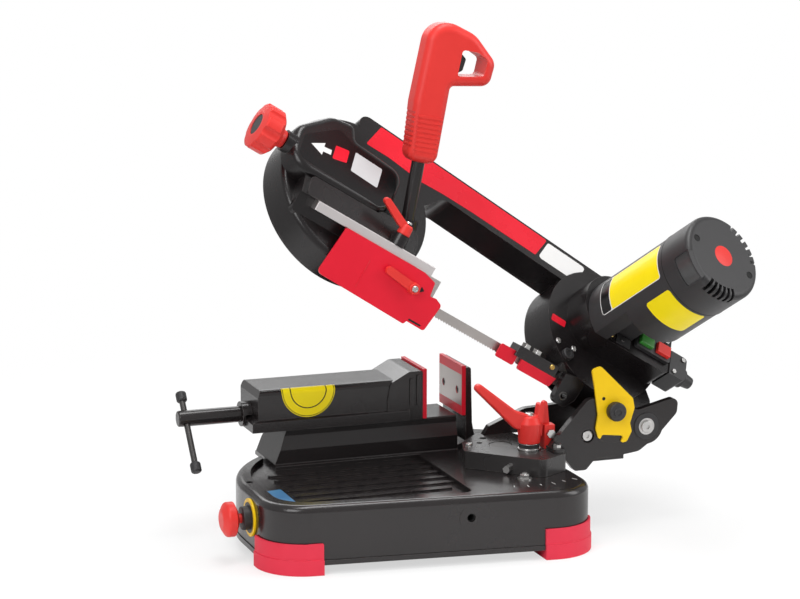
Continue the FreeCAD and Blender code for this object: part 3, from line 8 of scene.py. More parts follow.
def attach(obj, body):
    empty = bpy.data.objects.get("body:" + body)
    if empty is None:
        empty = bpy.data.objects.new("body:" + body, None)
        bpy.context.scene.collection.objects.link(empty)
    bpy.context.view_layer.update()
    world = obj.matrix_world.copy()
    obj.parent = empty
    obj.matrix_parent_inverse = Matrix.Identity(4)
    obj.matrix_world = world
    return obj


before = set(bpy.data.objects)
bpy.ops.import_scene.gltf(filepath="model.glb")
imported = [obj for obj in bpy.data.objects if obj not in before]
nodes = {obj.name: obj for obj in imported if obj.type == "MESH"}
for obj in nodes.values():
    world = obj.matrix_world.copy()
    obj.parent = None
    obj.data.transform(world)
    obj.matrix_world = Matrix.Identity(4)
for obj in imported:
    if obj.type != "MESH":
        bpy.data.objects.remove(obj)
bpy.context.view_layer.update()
scene = bpy.context.scene
scene.view_settings.view_transform = "Standard"

# Stage: the pale table the saw stands on, the white room round it,
# four soft boxes, and a camera that looks slightly down from the front left.
camera_data = bpy.data.cameras.new("camera")
camera = bpy.data.objects.new("camera", camera_data)
scene.collection.objects.link(camera)
scene.camera = camera
CAMERA_PLACE = Vector((-1.1115, -3.0629, 0.9406))
CAMERA_TARGET = Vector((-0.02037, -0.065, 0.32051))
camera.location = CAMERA_PLACE
camera.rotation_mode = "QUATERNION"
camera.rotation_quaternion = (CAMERA_TARGET - CAMERA_PLACE).to_track_quat("-Z", "Y")
camera_data.sensor_width = 36.0
camera_data.lens = 117.0
camera_data.clip_start = 0.05
camera_data.clip_end = 60.0

world = bpy.data.worlds.new("white_room")
scene.world = world
world.use_nodes = True
room = world.node_tree
room.nodes.clear()
room_out = room.nodes.new("ShaderNodeOutputWorld")
room_light = room.nodes.new("ShaderNodeBackground")
room_light.inputs["Color"].default_value = (1.0, 1.0, 1.0, 1.0)
room_light.inputs["Strength"].default_value = 0.42
room_seen = room.nodes.new("ShaderNodeBackground")
room_seen.inputs["Color"].default_value = (1.0, 1.0, 1.0, 1.0)
room_seen.inputs["Strength"].default_value = 1.0
room_rays = room.nodes.new("ShaderNodeLightPath")
room_clear = room.nodes.new("ShaderNodeMath")
room_clear.operation = "MAXIMUM"
room_any = room.nodes.new("ShaderNodeMath")
room_any.operation = "MAXIMUM"
room_shine = room.nodes.new("ShaderNodeMath")
room_shine.operation = "MULTIPLY"
room_shine.inputs[1].default_value = 0.3
room_mix = room.nodes.new("ShaderNodeMixShader")
room.links.new(room_rays.outputs["Is Camera Ray"], room_clear.inputs[0])
room.links.new(room_rays.outputs["Is Transmission Ray"], room_clear.inputs[1])
room.links.new(room_clear.outputs["Value"], room_any.inputs[0])
room.links.new(room_rays.outputs["Is Glossy Ray"], room_shine.inputs[0])
room.links.new(room_shine.outputs["Value"], room_any.inputs[1])
room.links.new(room_any.outputs["Value"], room_mix.inputs["Fac"])
room.links.new(room_light.outputs["Background"], room_mix.inputs[1])
room.links.new(room_seen.outputs["Background"], room_mix.inputs[2])
room.links.new(room_mix.outputs["Shader"], room_out.inputs["Surface"])

TABLE_REACH = 2.6
table_mesh = bpy.data.meshes.new("table")
table_form = bmesh.new()
bmesh.ops.create_circle(table_form, cap_ends=True, segments=96, radius=TABLE_REACH)
table_form.to_mesh(table_mesh)
table_form.free()
table = bpy.data.objects.new("table", table_mesh)
scene.collection.objects.link(table)
table_finish = bpy.data.materials.new("white_table")
table_finish.use_nodes = True
paper = table_finish.node_tree
paper.nodes.clear()
paper_out = paper.nodes.new("ShaderNodeOutputMaterial")
paper_matte = paper.nodes.new("ShaderNodeBsdfDiffuse")
paper_matte.inputs["Color"].default_value = (0.93, 0.93, 0.93, 1.0)
paper_glow = paper.nodes.new("ShaderNodeEmission")
paper_glow.inputs["Strength"].default_value = 1.0
paper_clear = paper.nodes.new("ShaderNodeBsdfTransparent")
paper_rays = paper.nodes.new("ShaderNodeLightPath")
paper_share = paper.nodes.new("ShaderNodeMath")
paper_share.operation = "MULTIPLY"
paper_share.inputs[1].default_value = 0.62
paper_lit = paper.nodes.new("ShaderNodeMixShader")
paper_place = paper.nodes.new("ShaderNodeTexCoord")
paper_reach = paper.nodes.new("ShaderNodeVectorMath")
paper_reach.operation = "LENGTH"
paper_fade = paper.nodes.new("ShaderNodeMapRange")
paper_fade.interpolation_type = "SMOOTHSTEP"
paper_fade.inputs["From Min"].default_value = 0.45
paper_fade.inputs["From Max"].default_value = 1.25
paper_mix = paper.nodes.new("ShaderNodeMixShader")
paper.links.new(paper_rays.outputs["Is Camera Ray"], paper_share.inputs[0])
paper.links.new(paper_share.outputs["Value"], paper_lit.inputs["Fac"])
paper.links.new(paper_matte.outputs["BSDF"], paper_lit.inputs[1])
paper.links.new(paper_glow.outputs["Emission"], paper_lit.inputs[2])
paper.links.new(paper_place.outputs["Object"], paper_reach.inputs[0])
paper.links.new(paper_reach.outputs["Value"], paper_fade.inputs["Value"])
paper.links.new(paper_fade.outputs["Result"], paper_mix.inputs["Fac"])
paper.links.new(paper_lit.outputs["Shader"], paper_mix.inputs[1])
paper.links.new(paper_clear.outputs["BSDF"], paper_mix.inputs[2])
paper.links.new(paper_mix.outputs["Shader"], paper_out.inputs["Surface"])
table_mesh.materials.append(table_finish)


def soft_box(name, place, target, size, power):
    """A rectangular studio lamp aimed at a point."""
    lamp_data = bpy.data.lights.new(name, "AREA")
    lamp_data.shape = "RECTANGLE"
    lamp_data.size = size[0]
    lamp_data.size_y = size[1]
    lamp_data.energy = power
    lamp = bpy.data.objects.new(name, lamp_data)
    lamp.location = Vector(place)
    lamp.rotation_mode = "QUATERNION"
    lamp.rotation_quaternion = (Vector(target) - Vector(place)).to_track_quat("-Z", "Y")
    scene.collection.objects.link(lamp)


soft_box("front_left_lamp", (-1.6, -1.5, 1.5), (0.0, 0.0, 0.25), (1.2, 1.2), 25.0)
soft_box("top_lamp", (0.1, -0.1, 2.0), (0.0, 0.0, 0.2), (1.5, 0.6), 22.0)
soft_box("right_lamp", (1.7, -0.9, 1.0), (0.05, 0.0, 0.3), (0.8, 1.4), 14.0)
soft_box("back_lamp", (0.3, 1.8, 1.3), (0.0, 0.0, 0.3), (1.4, 1.0), 12.0)


# Base casting: one hollow aluminium casting with a ribbed chip tray, sprayed in satin black.
# The paint shows a fine orange peel and thins to a warmer grey along its edges, as wear and as a painted edge
# highlight.
def grain_group():
    """Fine surface grain: a height for bump and a slow cloud for colour and gloss."""
    group = bpy.data.node_groups.new("fine_grain", "ShaderNodeTree")
    face = group.interface
    face.new_socket("Grain", in_out="INPUT", socket_type="NodeSocketFloat")
    face.new_socket("Cloud", in_out="INPUT", socket_type="NodeSocketFloat")
    face.new_socket("Height", in_out="OUTPUT", socket_type="NodeSocketFloat")
    face.new_socket("Patch", in_out="OUTPUT", socket_type="NodeSocketFloat")
    start = group.nodes.new("NodeGroupInput")
    end = group.nodes.new("NodeGroupOutput")
    place = group.nodes.new("ShaderNodeTexCoord")
    fine = group.nodes.new("ShaderNodeTexNoise")
    fine.inputs["Detail"].default_value = 2.0
    slow = group.nodes.new("ShaderNodeTexNoise")
    slow.inputs["Detail"].default_value = 3.0
    slow.inputs["Roughness"].default_value = 0.6
    group.links.new(place.outputs["Object"], fine.inputs["Vector"])
    group.links.new(place.outputs["Object"], slow.inputs["Vector"])
    group.links.new(start.outputs["Grain"], fine.inputs["Scale"])
    group.links.new(start.outputs["Cloud"], slow.inputs["Scale"])
    group.links.new(fine.outputs["Fac"], end.inputs["Height"])
    group.links.new(slow.outputs["Fac"], end.inputs["Patch"])
    return group


def edge_group():
    """Rubbed and lit edges: a broken mask where two faces meet at an outside corner, for wear and a painted
    edge highlight.
    """
    group = bpy.data.node_groups.new("rubbed_and_lit_edges", "ShaderNodeTree")
    face = group.interface
    face.new_socket("Width", in_out="INPUT", socket_type="NodeSocketFloat")
    face.new_socket("Amount", in_out="INPUT", socket_type="NodeSocketFloat")
    face.new_socket("Mask", in_out="OUTPUT", socket_type="NodeSocketFloat")
    start = group.nodes.new("NodeGroupInput")
    end = group.nodes.new("NodeGroupOutput")
    place = group.nodes.new("ShaderNodeTexCoord")
    surface = group.nodes.new("ShaderNodeNewGeometry")
    rounding = group.nodes.new("ShaderNodeBevel")
    rounding.samples = 4
    agree = group.nodes.new("ShaderNodeVectorMath")
    agree.operation = "DOT_PRODUCT"
    bend = group.nodes.new("ShaderNodeMapRange")
    bend.inputs["From Min"].default_value = 0.995
    bend.inputs["From Max"].default_value = 0.90
    patchy = group.nodes.new("ShaderNodeTexNoise")
    patchy.inputs["Scale"].default_value = 90.0
    patchy.inputs["Detail"].default_value = 4.0
    broken = group.nodes.new("ShaderNodeMapRange")
    broken.inputs["From Min"].default_value = 0.42
    broken.inputs["From Max"].default_value = 0.62
    joined = group.nodes.new("ShaderNodeMath")
    joined.operation = "MULTIPLY"
    scaled = group.nodes.new("ShaderNodeMath")
    scaled.operation = "MULTIPLY"
    group.links.new(start.outputs["Width"], rounding.inputs["Radius"])
    group.links.new(surface.outputs["Normal"], agree.inputs[0])
    group.links.new(rounding.outputs["Normal"], agree.inputs[1])
    group.links.new(agree.outputs["Value"], bend.inputs["Value"])
    group.links.new(place.outputs["Object"], patchy.inputs["Vector"])
    group.links.new(patchy.outputs["Fac"], broken.inputs["Value"])
    group.links.new(bend.outputs["Result"], joined.inputs[0])
    group.links.new(broken.outputs["Result"], joined.inputs[1])
    group.links.new(joined.outputs["Value"], scaled.inputs[0])
    group.links.new(start.outputs["Amount"], scaled.inputs[1])
    group.links.new(scaled.outputs["Value"], end.inputs["Mask"])
    return group


fine_grain = grain_group()
rubbed_and_lit_edges = edge_group()
RUB_REACH = 0.0016
GRAIN_DEPTH = 0.0004


def finish_of(name, dark, light, gloss, grain, bump, worn_and_lit_tone=None, wear_and_sheen=0.0, metal=0.0, cloud=14.0, shine=0.5):
    """A material with two close tones, a gloss that wanders, a grain, and an edge tone for wear and painted
    highlight.
    """
    made = bpy.data.materials.new(name)
    made.use_nodes = True
    tree = made.node_tree
    shader = tree.nodes["Principled BSDF"]
    shader.inputs["Metallic"].default_value = metal
    shader.inputs["Specular IOR Level"].default_value = shine
    texture = tree.nodes.new("ShaderNodeGroup")
    texture.node_tree = fine_grain
    texture.inputs["Grain"].default_value = grain
    texture.inputs["Cloud"].default_value = cloud
    tone = tree.nodes.new("ShaderNodeMix")
    tone.data_type = "RGBA"
    tone.inputs["A"].default_value = (*dark, 1.0)
    tone.inputs["B"].default_value = (*light, 1.0)
    tree.links.new(texture.outputs["Patch"], tone.inputs["Factor"])
    colour = tone.outputs["Result"]
    if worn_and_lit_tone is not None:
        edges = tree.nodes.new("ShaderNodeGroup")
        edges.node_tree = rubbed_and_lit_edges
        edges.inputs["Width"].default_value = RUB_REACH
        edges.inputs["Amount"].default_value = wear_and_sheen
        rubbed = tree.nodes.new("ShaderNodeMix")
        rubbed.data_type = "RGBA"
        rubbed.inputs["B"].default_value = (*worn_and_lit_tone, 1.0)
        tree.links.new(edges.outputs["Mask"], rubbed.inputs["Factor"])
        tree.links.new(colour, rubbed.inputs["A"])
        colour = rubbed.outputs["Result"]
    tree.links.new(colour, shader.inputs["Base Color"])
    sheen = tree.nodes.new("ShaderNodeMapRange")
    sheen.inputs["To Min"].default_value = gloss[0]
    sheen.inputs["To Max"].default_value = gloss[1]
    tree.links.new(texture.outputs["Patch"], sheen.inputs["Value"])
    tree.links.new(sheen.outputs["Result"], shader.inputs["Roughness"])
    relief = tree.nodes.new("ShaderNodeBump")
    relief.inputs["Strength"].default_value = bump
    relief.inputs["Distance"].default_value = GRAIN_DEPTH
    tree.links.new(texture.outputs["Height"], relief.inputs["Height"])
    tree.links.new(relief.outputs["Normal"], shader.inputs["Normal"])
    return made


def break_edges(piece, width):
    """Rounds the sharp edges of a piece."""
    edge = piece.modifiers.new("edge", "BEVEL")
    edge.width = width
    edge.segments = 2
    edge.limit_method = "ANGLE"
    edge.angle_limit = math.radians(35.0)
    return edge


WELD_GAP = 0.000002


def dress(name, finish, width=0.0):
    """Gives a solid its finish and breaks its sharp edges."""
    piece = nodes[name]
    piece.data.materials.clear()
    piece.data.materials.append(finish)
    if width > 0.0:
        seam = piece.modifiers.new("seam", "WELD")
        seam.merge_threshold = WELD_GAP
        edge = break_edges(piece, width)
        edge.use_clamp_overlap = True
        edge.harden_normals = True
        level = piece.modifiers.new("level", "WEIGHTED_NORMAL")
        level.keep_sharp = True
        level.weight = 80


MM = 0.001
POINT_GAP = 0.0005
SMOOTH_ANGLE = math.radians(32.0)


def at(x, y, z):
    """A place, given in millimetres."""
    return Matrix.Translation((x * MM, y * MM, z * MM))


def turned(degrees, axis):
    """A turn about one axis."""
    return Matrix.Rotation(math.radians(degrees), 4, axis)


def rounded(corners, steps=6):
    """A closed outline from corner points that each carry a radius, in millimetres."""
    outline = []
    for index, (x, y, radius) in enumerate(corners):
        if radius <= 0.0:
            outline.append((x, y))
            continue
        here = Vector((x, y))
        before = (Vector(corners[index - 1][:2]) - here).normalized()
        after = (Vector(corners[(index + 1) % len(corners)][:2]) - here).normalized()
        half = before.angle(after) / 2.0
        centre = here + (before + after).normalized() * (radius / math.sin(half))
        arm = here + before * (radius / math.tan(half)) - centre
        turn = arm.angle_signed(here + after * (radius / math.tan(half)) - centre)
        for step in range(steps + 1):
            spot = centre + Matrix.Rotation(-turn * step / steps, 2) @ arm
            outline.append((spot.x, spot.y))
    return outline


def oblong(left, low, right, high, radius):
    """A rectangle with four like corners as a closed outline."""
    return rounded([(left, low, radius), (right, low, radius), (right, high, radius), (left, high, radius)])


def ring(x, y, radius, steps=48):
    """A circle as a closed outline."""
    angles = [2.0 * math.pi * step / steps for step in range(steps)]
    return [(x + radius * math.cos(angle), y + radius * math.sin(angle)) for angle in angles]


def flat_form(loops, low, high):
    """A flat solid of one outline with any holes, from one level to another."""
    curve = bpy.data.curves.new("flat", "CURVE")
    curve.dimensions = "2D"
    curve.fill_mode = "BOTH"
    curve.extrude = (high - low) / 2.0
    for loop in loops:
        line = curve.splines.new("POLY")
        line.points.add(len(loop) - 1)
        for point, (x, y) in zip(line.points, loop):
            point.co = (x, y, 0.0, 1.0)
        line.use_cyclic_u = True
    holder = bpy.data.objects.new("flat", curve)
    mesh = bpy.data.meshes.new_from_object(holder)
    form = bmesh.new()
    form.from_mesh(mesh)
    bmesh.ops.translate(form, verts=form.verts, vec=(0.0, 0.0, (low + high) / 2.0))
    bmesh.ops.remove_doubles(form, verts=form.verts, dist=POINT_GAP)
    bpy.data.objects.remove(holder)
    bpy.data.meshes.remove(mesh)
    bpy.data.curves.remove(curve)
    return form


def settle(name, form, place, finish, body, width=0.0):
    """Sets a form given in millimetres in its place, on the body that carries it."""
    form.transform(place @ Matrix.Scale(MM, 4))
    bmesh.ops.recalc_face_normals(form, faces=form.faces)
    mesh = bpy.data.meshes.new(name)
    form.to_mesh(mesh)
    form.free()
    mesh.shade_smooth()
    mesh.set_sharp_from_angle(angle=SMOOTH_ANGLE)
    mesh.materials.append(finish)
    piece = bpy.data.objects.new(name, mesh)
    scene.collection.objects.link(piece)
    if width > 0.0:
        break_edges(piece, width)
    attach(piece, body)


def slab(name, place, loops, low, high, finish, body, width=0.0):
    """A flat piece, film or plate."""
    settle(name, flat_form(loops, low, high), place, finish, body, width)


def spun(name, place, profile, finish, body, around=40, ridge=0.0):
    """A turned piece from radius and level pairs; ridge cuts grooves in its widest part."""
    form = bmesh.new()
    rings = []
    widest = max(radius for radius, level in profile)
    for radius, level in profile:
        if radius == 0.0:
            rings.append([form.verts.new((0.0, 0.0, level))])
            continue
        spots = []
        for step in range(around):
            angle = 2.0 * math.pi * step / around
            reach = radius - ridge if radius == widest and step % 2 else radius
            spots.append(form.verts.new((reach * math.cos(angle), reach * math.sin(angle), level)))
        rings.append(spots)
    for lower, upper in zip(rings, rings[1:]):
        for step in range(around):
            follow = step + 1
            corners = [
                lower[step % len(lower)], lower[follow % len(lower)],
                upper[follow % len(upper)], upper[step % len(upper)],
            ]
            corners = list(dict.fromkeys(corners))
            if len(corners) > 2:
                form.faces.new(corners)
    bmesh.ops.remove_doubles(form, verts=form.verts, dist=POINT_GAP)
    settle(name, form, place, finish, body)


def base_outline(grow):
    """The plan of the base, grown by a margin."""
    return rounded([
        (-215 - grow, -139 - grow, 58 + grow), (207 + grow, -190 - grow, 55 + grow),
        (207 + grow, 168 + grow, 60 + grow), (-215 - grow, 168 + grow, 185 + grow),
    ], 24)


WORLD = Matrix.Identity(4)
FRONT = turned(90.0, "X")
DECK = 87.0
TRAY = 80.0
DECK_NUT = at(131, -112, DECK)
TICK_START, TICK_STEP = -104.0, 8.0
# The warm grey edge tone of the casting black is wear and a painted edge highlight.
black_casting = finish_of(
    "black_casting", (0.011, 0.0088, 0.009), (0.019, 0.0155, 0.0157), (0.17, 0.29), 900.0, 0.17,
    (0.085, 0.072, 0.068), 0.6,
)
# Painted shade: a near-black matte finish laid in bores, slots, holes, screw recesses and the cap seam, where
# shade falls.
gap_shade_black = finish_of(
    "gap_shade_black", (0.002, 0.002, 0.002), (0.004, 0.004, 0.004), (0.7, 0.9), 900.0, 0.1,
)
white_print = finish_of(
    "white_print", (0.72, 0.71, 0.7), (0.78, 0.77, 0.76), (0.4, 0.5), 1500.0, 0.03,
)
blue_film = finish_of(
    "blue_film", (0.03, 0.12, 0.3), (0.1, 0.3, 0.52), (0.25, 0.35), 1500.0, 0.03, cloud=40.0,
)
bright_steel = finish_of(
    "bright_steel", (0.5, 0.49, 0.48), (0.62, 0.61, 0.6), (0.2, 0.36), 700.0, 0.05, metal=1.0,
)
dress("base_casting", black_casting, 0.0012)
slab(
    "base_lip", WORLD, [base_outline(1.3), base_outline(-2.0)], 12.0, 18.5,
    black_casting, "base", 0.0008,
)
# Painted shade: a closed near-black cup lines the stop rod bore in the front wall.
spun(
    "stop_bore_shade", at(36, -162.5, 60) @ FRONT,
    [(0.0, -9.0), (4.4, -9.0), (4.4, 5.0), (5.4, 5.0), (5.4, -10.0), (0.0, -10.0)],
    gap_shade_black, "base",
)
for index in range(6):
    tick = at(135, -20, DECK) @ turned(TICK_START + TICK_STEP * index, "Z")
    mark = oblong(122, -0.4, 131.0 if index % 2 else 128.0, 0.4, 0.0)
    slab("scale_tick_%d" % index, tick, [mark], 0.0, 0.12, white_print, "base")
spun(
    "deck_washer", DECK_NUT, [(0.0, 0.0), (9.5, 0.0), (9.5, 1.4), (0.0, 1.4)],
    bright_steel, "base",
)
spun(
    "deck_nut", DECK_NUT,
    [(0.0, 1.4), (6.6, 1.4), (6.6, 6.0), (5.6, 6.6), (3.4, 6.6), (3.0, 8.4), (0.0, 8.4)],
    bright_steel, "base", 6,
)
slab(
    "tray_patch", WORLD, [rounded([(-190, -34, 2), (-187, -94, 2), (-168, -98, 2), (-168, -30, 2)])],
    TRAY, TRAY + 0.2, blue_film, "base",
)

# Corner feet: moulded red shoes with a dull, rubbery skin and a step half way up.
# They are pushed over the four lower corners of the base.
red_rubber = finish_of(
    "red_rubber", (0.66, 0.022, 0.05), (0.78, 0.04, 0.08), (0.5, 0.62), 1400.0, 0.12,
    (0.84, 0.11, 0.15), 0.3, shine=0.3,
)
dress("corner_feet", red_rubber, 0.0014)

# Emergency stop: a yellow ring and a black switch body screwed to the left wall.
# A red mushroom head stands in them, and a plain black disc lies on the ring.
LEFT_WALL = at(-215, -56, 55) @ turned(-90.0, "Y")
yellow_paint = finish_of(
    "yellow_paint", (0.9, 0.56, 0.002), (0.97, 0.64, 0.004), (0.32, 0.44), 1200.0, 0.1,
    (0.5, 0.36, 0.05), 0.5, shine=0.3,
)
black_plastic = finish_of(
    "black_plastic", (0.017, 0.0165, 0.0175), (0.025, 0.0235, 0.025), (0.4, 0.52), 1900.0, 0.16,
    (0.06, 0.058, 0.06), 0.25,
)
red_plastic = finish_of(
    "red_plastic", (0.7, 0.028, 0.023), (0.8, 0.042, 0.034), (0.34, 0.46), 1700.0, 0.1,
    (0.86, 0.1, 0.08), 0.3, shine=0.35,
)
dress("estop_ring", yellow_paint, 0.0006)
dress("estop_body", black_plastic, 0.0005)
dress("estop_head", red_plastic, 0.0004)
slab(
    "estop_legend", LEFT_WALL, [ring(0, 0, 19.5), ring(0, 0, 14.6)], 3.0, 3.3,
    black_plastic, "base",
)

# Vise: a cast bed, the nut that stands on it, the fixed jaw and the slider, painted as the base.
# Red jaw plates carry pale ground steel faces on their upper part, which also stand for a painted reflection
# of the white room on the glossy red, and the slider has two raised ribs at its head.
# A plain yellow disc is stuck on the slider and folds over its top edge.
UPRIGHT = Matrix(((0, 0, 1, 0), (1, 0, 0, 0), (0, 1, 0, 0), (0, 0, 0, 1)))
JAW_FACE_AND_GLARE = [oblong(65.5, 144, 147.5, 186, 1.5), ring(81.5, 163.0, 5.2), ring(131.5, 163.0, 5.2)]
ground_steel = finish_of(
    "ground_steel", (0.42, 0.39, 0.375), (0.52, 0.485, 0.465), (0.34, 0.48), 500.0, 0.08, metal=1.0,
)
dark_steel = finish_of(
    "dark_steel", (0.05, 0.048, 0.047), (0.085, 0.08, 0.078), (0.3, 0.44), 600.0, 0.1,
    (0.3, 0.28, 0.27), 0.6, metal=0.7,
)
red_paint = finish_of(
    "red_paint", (0.68, 0.007, 0.024), (0.8, 0.011, 0.034), (0.28, 0.4), 1100.0, 0.12,
    (0.4, 0.1, 0.09), 0.35, shine=0.3,
)
yellow_film = finish_of(
    "yellow_film", (0.9, 0.7, 0.003), (0.97, 0.79, 0.006), (0.28, 0.38), 1800.0, 0.03,
    cloud=30.0, shine=0.3,
)
black_film = finish_of(
    "black_film", (0.0055, 0.005, 0.0056), (0.0095, 0.009, 0.0095), (0.16, 0.26), 1800.0, 0.02,
    shine=0.28,
)
dress("vise_bed", black_casting, 0.0008)
dress("vise_nut", dark_steel, 0.0006)
dress("fixed_jaw_bracket", black_casting, 0.0008)
dress("fixed_jaw_plate", red_paint, 0.0005)
dress("fixed_jaw_screws", dark_steel, 0.0003)
dress("vise_slider", black_casting, 0.0008)
dress("moving_jaw_plate", red_paint, 0.0005)
dress("moving_jaw_screws", dark_steel, 0.0003)
dress("screw_collar", black_casting, 0.0006)
# The pale steel faces are a ground facing and a painted reflection on the glossy red plates.
slab("fixed_jaw_face", UPRIGHT, JAW_FACE_AND_GLARE, 113.8, 114.0, ground_steel, "base")
slab("moving_jaw_face_glare", UPRIGHT, JAW_FACE_AND_GLARE, 64.5, 64.7, ground_steel, "slider")
for index, left in enumerate((40.5, 50.0)):
    rib = oblong(left, 150, left + 5.5, 187 + 4 * index, 2)
    slab(
        "head_rib_%d" % index, FRONT, [rib], -66.0, -62.9,
        black_casting, "slider", 0.0008,
    )

FOLD_RADIUS = 7.0
FOLD_HALF = 5.498
FOLD_Y, FOLD_Z = 74.0, 178.3
FOLD_MIDDLE = math.pi * 0.75
FOLDS = [((0.0, 1.0, 0.0), [-5.5, -4.1, -2.75, -1.4, 0.0, 1.4, 2.75, 4.1, 5.5])]
DISC = (-98.6, -1.0)


def fold_over(x, s, z):
    """Wraps a flat film over the rounded front top edge of the slider."""
    rise = FOLD_RADIUS + z
    if s > FOLD_HALF:
        return (x, FOLD_Y + s - FOLD_HALF, FOLD_Z + rise)
    if s < -FOLD_HALF:
        return (x, FOLD_Y - rise, FOLD_Z + s + FOLD_HALF)
    angle = FOLD_MIDDLE - s / FOLD_RADIUS
    return (x, FOLD_Y + rise * math.cos(angle), FOLD_Z + rise * math.sin(angle))


def film(name, place, loops, thick, cuts, bend, finish, body, foot=0.0, trim=None):
    """A film cut flat, trimmed level if asked, then bent to the surface that carries it."""
    form = flat_form(loops, foot, thick)
    if trim is not None:
        everything = form.verts[:] + form.edges[:] + form.faces[:]
        bmesh.ops.bisect_plane(
            form, geom=everything, plane_co=(0.0, trim, 0.0), plane_no=(0.0, 1.0, 0.0), clear_outer=True,
        )
        bmesh.ops.holes_fill(form, edges=[edge for edge in form.edges if edge.is_boundary])
    for direction, levels in cuts:
        for level in levels:
            everything = form.verts[:] + form.edges[:] + form.faces[:]
            point = Vector(direction) * level
            bmesh.ops.bisect_plane(form, geom=everything, plane_co=point, plane_no=direction)
    for vertex in form.verts:
        vertex.co = bend(*vertex.co)
    settle(name, form, place, finish, body)


film(
    "slider_disc", WORLD, [ring(*DISC, 36.5, 72)], 0.15, FOLDS, fold_over,
    yellow_film, "slider", trim=4.4,
)
for name, outer, inner in (("slider_disc_line", 25.0, 23.6), ("slider_disc_rim", 35.4, 34.6)):
    film(
        name, WORLD, [ring(*DISC, outer, 72), ring(*DISC, inner, 72)], 0.22, FOLDS, fold_over,
        black_film, "slider", 0.1, 4.2,
    )

# Vise screw and tommy bar: a turned steel screw, painted black, that runs in the nut.
# A plain bar slides through its head, with a moulded knob pressed on each end.
dress("vise_screw", black_casting, 0.0006)
dress("tommy_bar", dark_steel, 0.0003)
dress("tommy_knobs", black_plastic, 0.0003)

# Turntable: a machined and painted plate on its pin, with the lock stud, lever and latch.
# A knurled ring turns on the stud under the lever, and a socket screw holds the lever down.
LOCK = at(160, -57, 119.3)
PIVOT_FRONT = at(318, -74, 131.5) @ FRONT
# Painted reflection: the plate's black is a lighter copy of the casting black, for the white table mirrored in
# its faces.
table_lit_black = finish_of(
    "table_lit_black", (0.02, 0.018, 0.018), (0.034, 0.031, 0.031), (0.22, 0.34), 700.0, 0.16,
    (0.12, 0.11, 0.1), 0.7,
)


def screw(name, place, radius, finish, body):
    """A socket screw head: a domed rim round a sunk centre."""
    spun(
        name, place,
        [(0.0, 0.5), (radius * 0.42, 0.5), (radius * 0.5, radius * 0.5), (radius * 0.8, radius * 0.46),
         (radius, radius * 0.2), (radius, -0.4), (0.0, -0.4)],
        finish, body, 30,
    )


dress("swivel_pin", dark_steel, 0.0005)
# The plate takes the lighter black of painted reflection.
dress("turntable_plate", table_lit_black, 0.001)
dress("lock_stud", bright_steel, 0.0004)
dress("lock_lever", red_plastic, 0.0008)
dress("latch_block", red_plastic, 0.0008)
dress("table_bolts", bright_steel, 0.0004)
dress("pivot_support", black_casting, 0.001)
dress("pivot_pin", bright_steel, 0.0005)
spun(
    "lock_knurl", LOCK, [(12.9, -6.2), (13.6, -5.8), (13.6, -1.2), (12.9, -0.8), (12.9, -6.2)],
    black_plastic, "turntable", 96, 0.6,
)
screw("lever_screw", LOCK @ at(0, 0, 36), 6.5, bright_steel, "table_lever")
slab(
    "lever_stub", LOCK @ FRONT, [rounded([(6, 9, 2), (15, 8, 2), (18, 50, 2.8), (11.5, 52, 2.8)])],
    -6.0, 6.0, red_plastic, "table_lever", 0.0009,
)
screw("table_screw", at(96, -7.5, 110), 5.0, bright_steel, "turntable")
spun(
    "pivot_washer", PIVOT_FRONT,
    [(10.8, 0.0), (17.5, 0.0), (17.5, 1.2), (16.9, 1.8), (11.4, 1.8), (10.8, 1.2), (10.8, 0.0)],
    black_plastic, "turntable", 56,
)

# Bow: one casting that carries both wheel drums, the arm, the gear case and the handle.
# Plain films lie on the arm, the oval and the drum.
# The rear cover is a pressed sheet with two round beads, held by screws.
BOW = at(318, 0, 131.5) @ turned(31.4, "Y")
LOOP = BOW @ at(0, -20, -6) @ turned(50.0, "X")
COVER_BACK = LOOP @ at(0, 0, -22) @ turned(180.0, "X")
IDLER = (-476, -85)
DRIVE = (-76, -85)
BEAD_WIDTH = 7.0
ARM_FRONT = 25.0
DRUM_FRONT = 30.0
OVAL_FRONT = 54.0
OVAL_FILM_FRONT = 54.2
FILM_SUNK = 0.1
red_film = finish_of(
    "red_film", (0.66, 0.006, 0.02), (0.76, 0.01, 0.03), (0.22, 0.32), 1800.0, 0.02,
    cloud=24.0, shine=0.3,
)
white_film = finish_of(
    "white_film", (0.74, 0.735, 0.73), (0.8, 0.795, 0.79), (0.25, 0.35), 1800.0, 0.02, cloud=24.0,
)
silver_film = finish_of(
    "silver_film", (0.5, 0.5, 0.51), (0.6, 0.6, 0.61), (0.3, 0.4), 1800.0, 0.02, cloud=40.0,
)
# Painted shade: the bow's black is a darker copy of the casting black, because the bow faces up towards the
# top lamp.
bow_shaded_black = finish_of(
    "bow_shaded_black", (0.0062, 0.0048, 0.0052), (0.0115, 0.0092, 0.0096), (0.2, 0.32), 900.0, 0.16,
    (0.075, 0.064, 0.062), 0.7, shine=0.4,
)
dress("bow_casting", bow_shaded_black, 0.001)
dress("rear_cover", bow_shaded_black, 0.0006)
dress("blade", ground_steel)
for name, centre, radius in (("idler_bead", IDLER, 90.0), ("drive_bead", DRIVE, 72.0)):
    slab(
        name, COVER_BACK, [ring(*centre, radius, 96), ring(*centre, radius - BEAD_WIDTH, 96)], -0.3, 1.6,
        bow_shaded_black, "bow", 0.0007,
    )
cover_spots = [
    (centre[0] + reach * math.cos(math.radians(angle)), centre[1] + reach * math.sin(math.radians(angle)))
    for centre, reach, angles in ((IDLER, 102.5, (75, 125, 175, 225)), (DRIVE, 83.0, (80, 130, 330)))
    for angle in angles
]
cover_spots.append((-285.0, -176.0))
